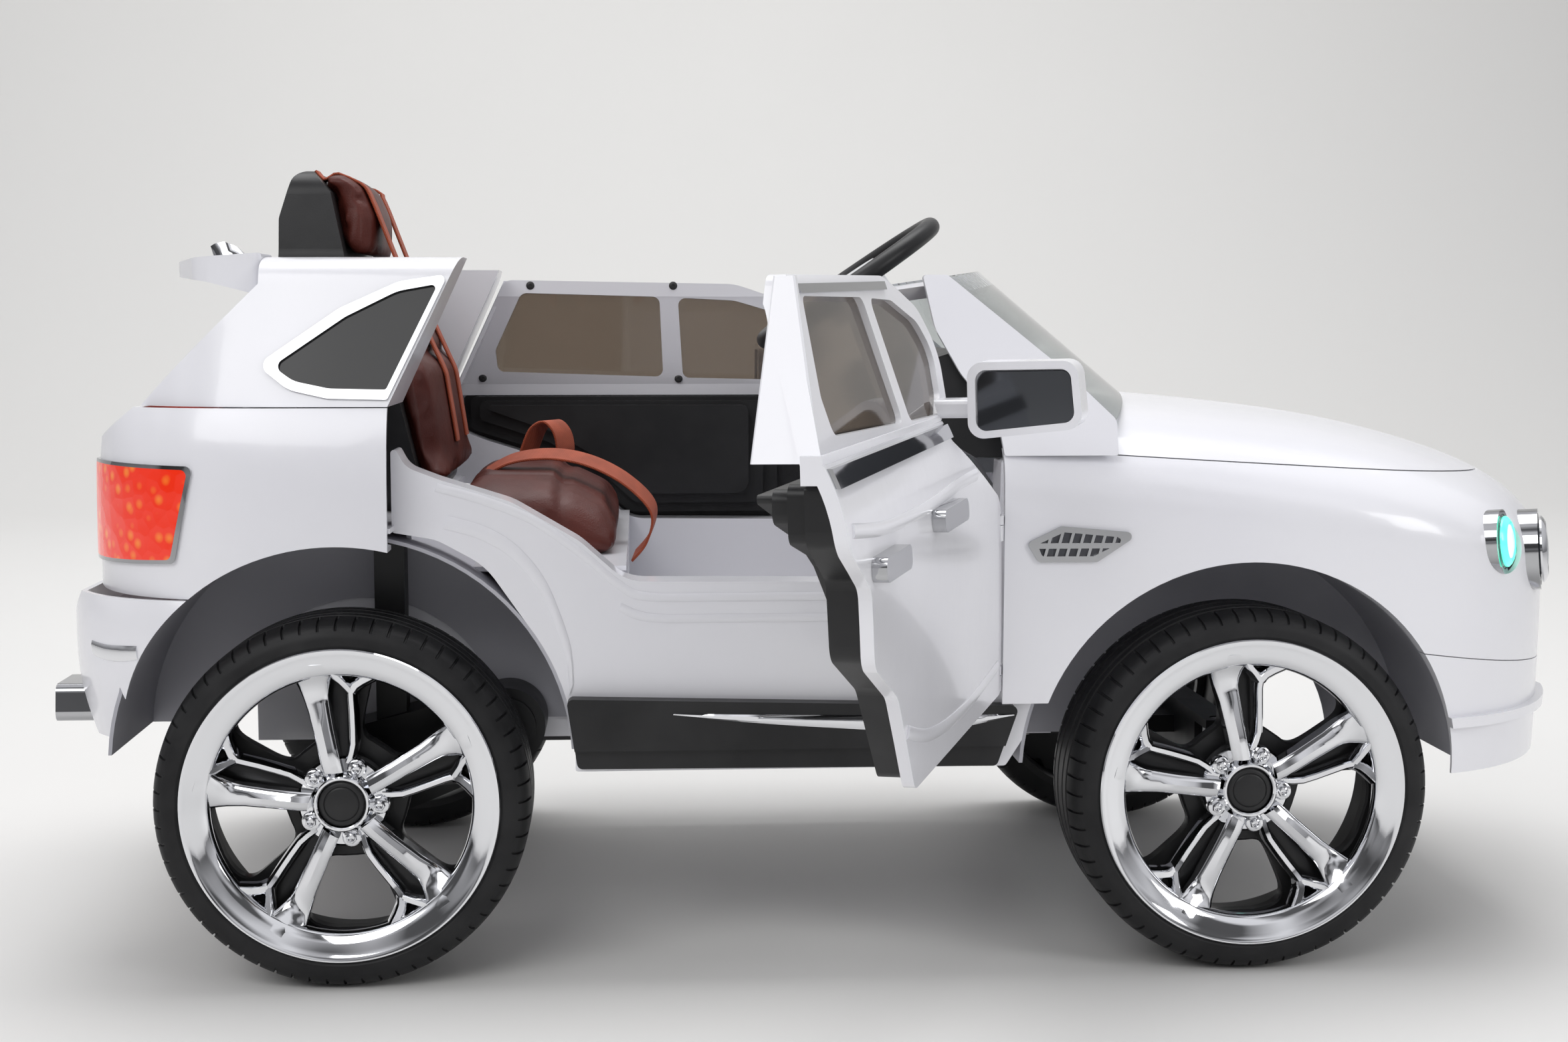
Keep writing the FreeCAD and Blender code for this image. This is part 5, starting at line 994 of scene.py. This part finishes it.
# Screws on the inner face of the window frame, in x and z, seen from inside the cabin
SCREWS = [(-252, 590), (-97, 590), (-91, 488), (-307, 489)]
SCREW_HEAD = [(0.01, -0.5), (0.01, 0.6), (1.2, 0.7), (1.6, 1.6), (3.4, 1.5), (4.4, 0.8), (4.6, -0.5)]
SCREW_STEPS = 20
INSIDE_CABIN = 150.0


# Places for a lathe whose axis leaves a centre along out
def axis_place(centre, across, up, out):
    def place(radius, turn, height):
        reach = across * math.cos(turn) + up * math.sin(turn)
        return centre + reach * (radius * MM) + out * (height * MM)
    return place


def screw_heads(body, side):
    turn = door_place(side)
    surface = surface_of(nodes[body + "_shell"])
    out = turn.to_3x3() @ Vector((0, side, 0))
    across = turn.to_3x3() @ Vector((1, 0, 0))
    mesh = bmesh.new()
    for x, z in SCREWS:
        seat_point = surface.ray_cast(turn @ mm(x, side * INSIDE_CABIN, z), out)[0]
        if seat_point is not None:
            place = axis_place(seat_point, across, out.cross(across), -out)
            lathe(mesh, SCREW_HEAD, SCREW_STEPS, place, closed=False)
    make_piece("screws_" + body, mesh, COATED, body, 40)


def doors():
    for body, side in DOORS.items():
        mirror_glass(body, side)
        window_return(body, side)
        door_creases(body, side)
        screw_heads(body, side)


# Small bright fin on the spoiler: x, half width and height of each section
FIN = [(-533, 0.4, 22), (-529, 5.0, 24), (-520, 8.0, 25), (-508, 9.0, 19), (-498, 8.0, 9), (-492, 4.5, 2)]
# Half of a section from its foot up: lean to the rear, share of the half width, share of the height
FIN_SECTION = [(0, 1.0, 0.0), (3, 0.7, 0.6), (6, 0.15, 1.0)]
FIN_SINK = 1.0
ABOVE_CAR = 900.0


def roof_fin():
    surface = surface_of(nodes["rear_spoiler"])
    rings = []
    for x, half, height in FIN:
        foot = surface.ray_cast(mm(x, 0, ABOVE_CAR), Vector((0, 0, -1)))[0]
        base = foot.z / MM - FIN_SINK
        near = [mm(x - lean, -half * share, base + height * rise) for lean, share, rise in FIN_SECTION]
        far = [mm(x - lean, half * share, base + height * rise) for lean, share, rise in FIN_SECTION]
        rings.append(near + far[::-1])
    mesh = bmesh.new()
    loft(mesh, rings)
    make_piece("roof_fin", mesh, CHROME, "car_body", 40)


# Head lamps, a ring and a core behind each clear lens: centre, axis, radius, and whether it is lit
LAMPS = [
    ((604, -283, 362), (0.82, -0.56, 0.10), 23.4, True),
    ((657, -235, 350), (0.90, -0.42, 0.08), 31.4, False),
]
LAMP_FACE = 9.4
LAMP_STEPS = 64
# Outlines: share of the lamp's radius, height from its face
LAMP_RING = [(0.66, -2), (0.66, 1.4), (0.74, 2.2), (0.86, 0.6), (0.94, -1.4), (0.94, -3)]
LAMP_CORE = [(0.0, -3), (0.0, 3.4), (0.2, 3.2), (0.42, 2.6), (0.62, 1.2), (0.64, -2)]
TIP_RADIUS = 0.01


def lamp_inside():
    for side, word in SIDES:
        for index, (centre, axis, radius, lit) in enumerate(LAMPS):
            name = "%s_%d" % (word, index + 1)
            out = Vector((axis[0], -side * axis[1], axis[2])).normalized()
            across = out.orthogonal().normalized()
            place = axis_place(mm(centre[0], -side * centre[1], centre[2]), across, out.cross(across), out)
            mesh = bmesh.new()
            lathe(mesh, [(radius * share, LAMP_FACE + rise) for share, rise in LAMP_RING], LAMP_STEPS, place)
            make_piece("lamp_ring_" + name, mesh, GREEN_LIGHT if lit else CHROME, "car_body",
                       40)
            core = [(max(radius * share, TIP_RADIUS), LAMP_FACE + rise) for share, rise in LAMP_CORE]
            mesh = bmesh.new()
            lathe(mesh, core, LAMP_STEPS, place, closed=False)
            make_piece("lamp_core_" + name, mesh, WHITE_LIGHT if lit else LENS, "car_body", 40)


wheels()
pads = seat()
straps(pads)
bright_strips()
sill_lips()
doors()
roof_fin()
lamp_inside()


# Stage, light and camera, in metres
FLOOR_HALF = 9.0
WALL_Y = 6.0
WALL_TOP = 6.0
WALL_RADIUS = 2.0
WALL_STEPS = 16


def backdrop():
    points = [(-FLOOR_HALF, 0.0)]
    for step in range(WALL_STEPS + 1):
        turn = math.radians(90 * step / WALL_STEPS)
        y = WALL_Y - WALL_RADIUS + WALL_RADIUS * math.sin(turn)
        points.append((y, WALL_RADIUS * (1 - math.cos(turn))))
    points.append((WALL_Y, WALL_TOP))
    mesh = bmesh.new()
    rows = [[mesh.verts.new((x, y, z)) for y, z in points] for x in (-FLOOR_HALF, FLOOR_HALF)]
    for index in range(len(points) - 1):
        mesh.faces.new((rows[0][index], rows[1][index], rows[1][index + 1], rows[0][index + 1]))
    data = bpy.data.meshes.new("stage_floor")
    mesh.to_mesh(data)
    mesh.free()
    data.polygons.foreach_set("use_smooth", [True] * len(data.polygons))
    floor = bpy.data.objects.new("stage_floor", data)
    scene.collection.objects.link(floor)
    material = new_material("stage_pale", (0.74, 0.735, 0.72), 0.6)
    vary_roughness(material, 2.0, 0.5, 0.7)
    data.materials.append(material)


# Area lights: place, target, size, power
LIGHTS = {
    "key": ((-1.7, -3.0, 2.7), (0, 0, 0.3), (2.6, 1.8), 50),
    "fill": ((2.6, -2.4, 1.5), (0.2, 0, 0.3), (1.0, 1.2), 20),
    "top": ((0.0, 0.4, 3.0), (0, 0, 0.2), (2.6, 1.6), 46),
    "wall": ((0.0, 2.2, 4.2), (0, WALL_Y, 1.2), (6.0, 1.5), 125),
}


def area_lights():
    for name, (place, target, size, power) in LIGHTS.items():
        data = bpy.data.lights.new(name, "AREA")
        data.shape = "RECTANGLE"
        data.size, data.size_y = size
        data.energy = power
        lamp = bpy.data.objects.new(name, data)
        lamp.location = place
        lamp.rotation_euler = (Vector(target) - Vector(place)).to_track_quat("-Z", "Y").to_euler()
        scene.collection.objects.link(lamp)


# World: brighter with height, and uneven on the camera's side so that bright trim has something to mirror
WORLD_STRENGTH = 0.72
WORLD_BLUE = 1.03
WORLD_SHADES = ((0.0, 0.10), (0.44, 0.14), (0.50, 0.30), (0.58, 0.75), (0.72, 0.95), (1.0, 1.1))
PATCH_SCALE = 3.4
PATCH_DETAIL = 0.5


def world_range(tree, source, **limits):
    span = tree.nodes.new("ShaderNodeMapRange")
    for name, value in limits.items():
        span.inputs[name.replace("_", " ")].default_value = value
    tree.links.new(source, span.inputs["Value"])
    return span.outputs["Result"]


def room_light():
    world = bpy.data.worlds.new("studio_world")
    world.use_nodes = True
    scene.world = world
    tree = world.node_tree
    back = tree.nodes["Background"]
    back.inputs["Strength"].default_value = WORLD_STRENGTH
    place = tree.nodes.new("ShaderNodeTexCoord")
    split = tree.nodes.new("ShaderNodeSeparateXYZ")
    tree.links.new(place.outputs["Generated"], split.inputs["Vector"])
    ramp = tree.nodes.new("ShaderNodeValToRGB")
    while len(ramp.color_ramp.elements) < len(WORLD_SHADES):
        ramp.color_ramp.elements.new(0.5)
    for element, (position, shade) in zip(ramp.color_ramp.elements, WORLD_SHADES):
        element.position = position
        element.color = (shade, shade, shade * WORLD_BLUE, 1)
    tree.links.new(world_range(tree, split.outputs["Z"], From_Min=-1.0), ramp.inputs["Fac"])
    room = tree.nodes.new("ShaderNodeTexNoise")
    room.inputs["Scale"].default_value = PATCH_SCALE
    room.inputs["Detail"].default_value = PATCH_DETAIL
    tree.links.new(place.outputs["Generated"], room.inputs["Vector"])
    patch = world_range(tree, room.outputs["Fac"], From_Min=0.38, From_Max=0.62, To_Min=0.15, To_Max=1.2)
    front = world_range(tree, split.outputs["Y"], From_Min=0.05, From_Max=-0.2)
    blend = tree.nodes.new("ShaderNodeMix")
    blend.data_type = "FLOAT"
    blend.inputs["A"].default_value = 1.0
    tree.links.new(front, blend.inputs["Factor"])
    tree.links.new(patch, blend.inputs["B"])
    shade = tree.nodes.new("ShaderNodeVectorMath")
    shade.operation = "SCALE"
    tree.links.new(ramp.outputs["Color"], shade.inputs["Vector"])
    tree.links.new(blend.outputs["Result"], shade.inputs["Scale"])
    tree.links.new(shade.outputs["Vector"], back.inputs["Color"])


CAMERA_LENS = 47.88
CAMERA_SENSOR = 36.0
CAMERA_PLACE = (-0.132, -2.026, 0.551)
CAMERA_TURN = (84.54, 0.0, -3.90)


def camera():
    data = bpy.data.cameras.new("camera")
    data.lens = CAMERA_LENS
    data.sensor_width = CAMERA_SENSOR
    eye = bpy.data.objects.new("camera", data)
    eye.location = CAMERA_PLACE
    eye.rotation_euler = [math.radians(angle) for angle in CAMERA_TURN]
    scene.collection.objects.link(eye)
    scene.camera = eye


backdrop()
room_light()
area_lights()
camera()
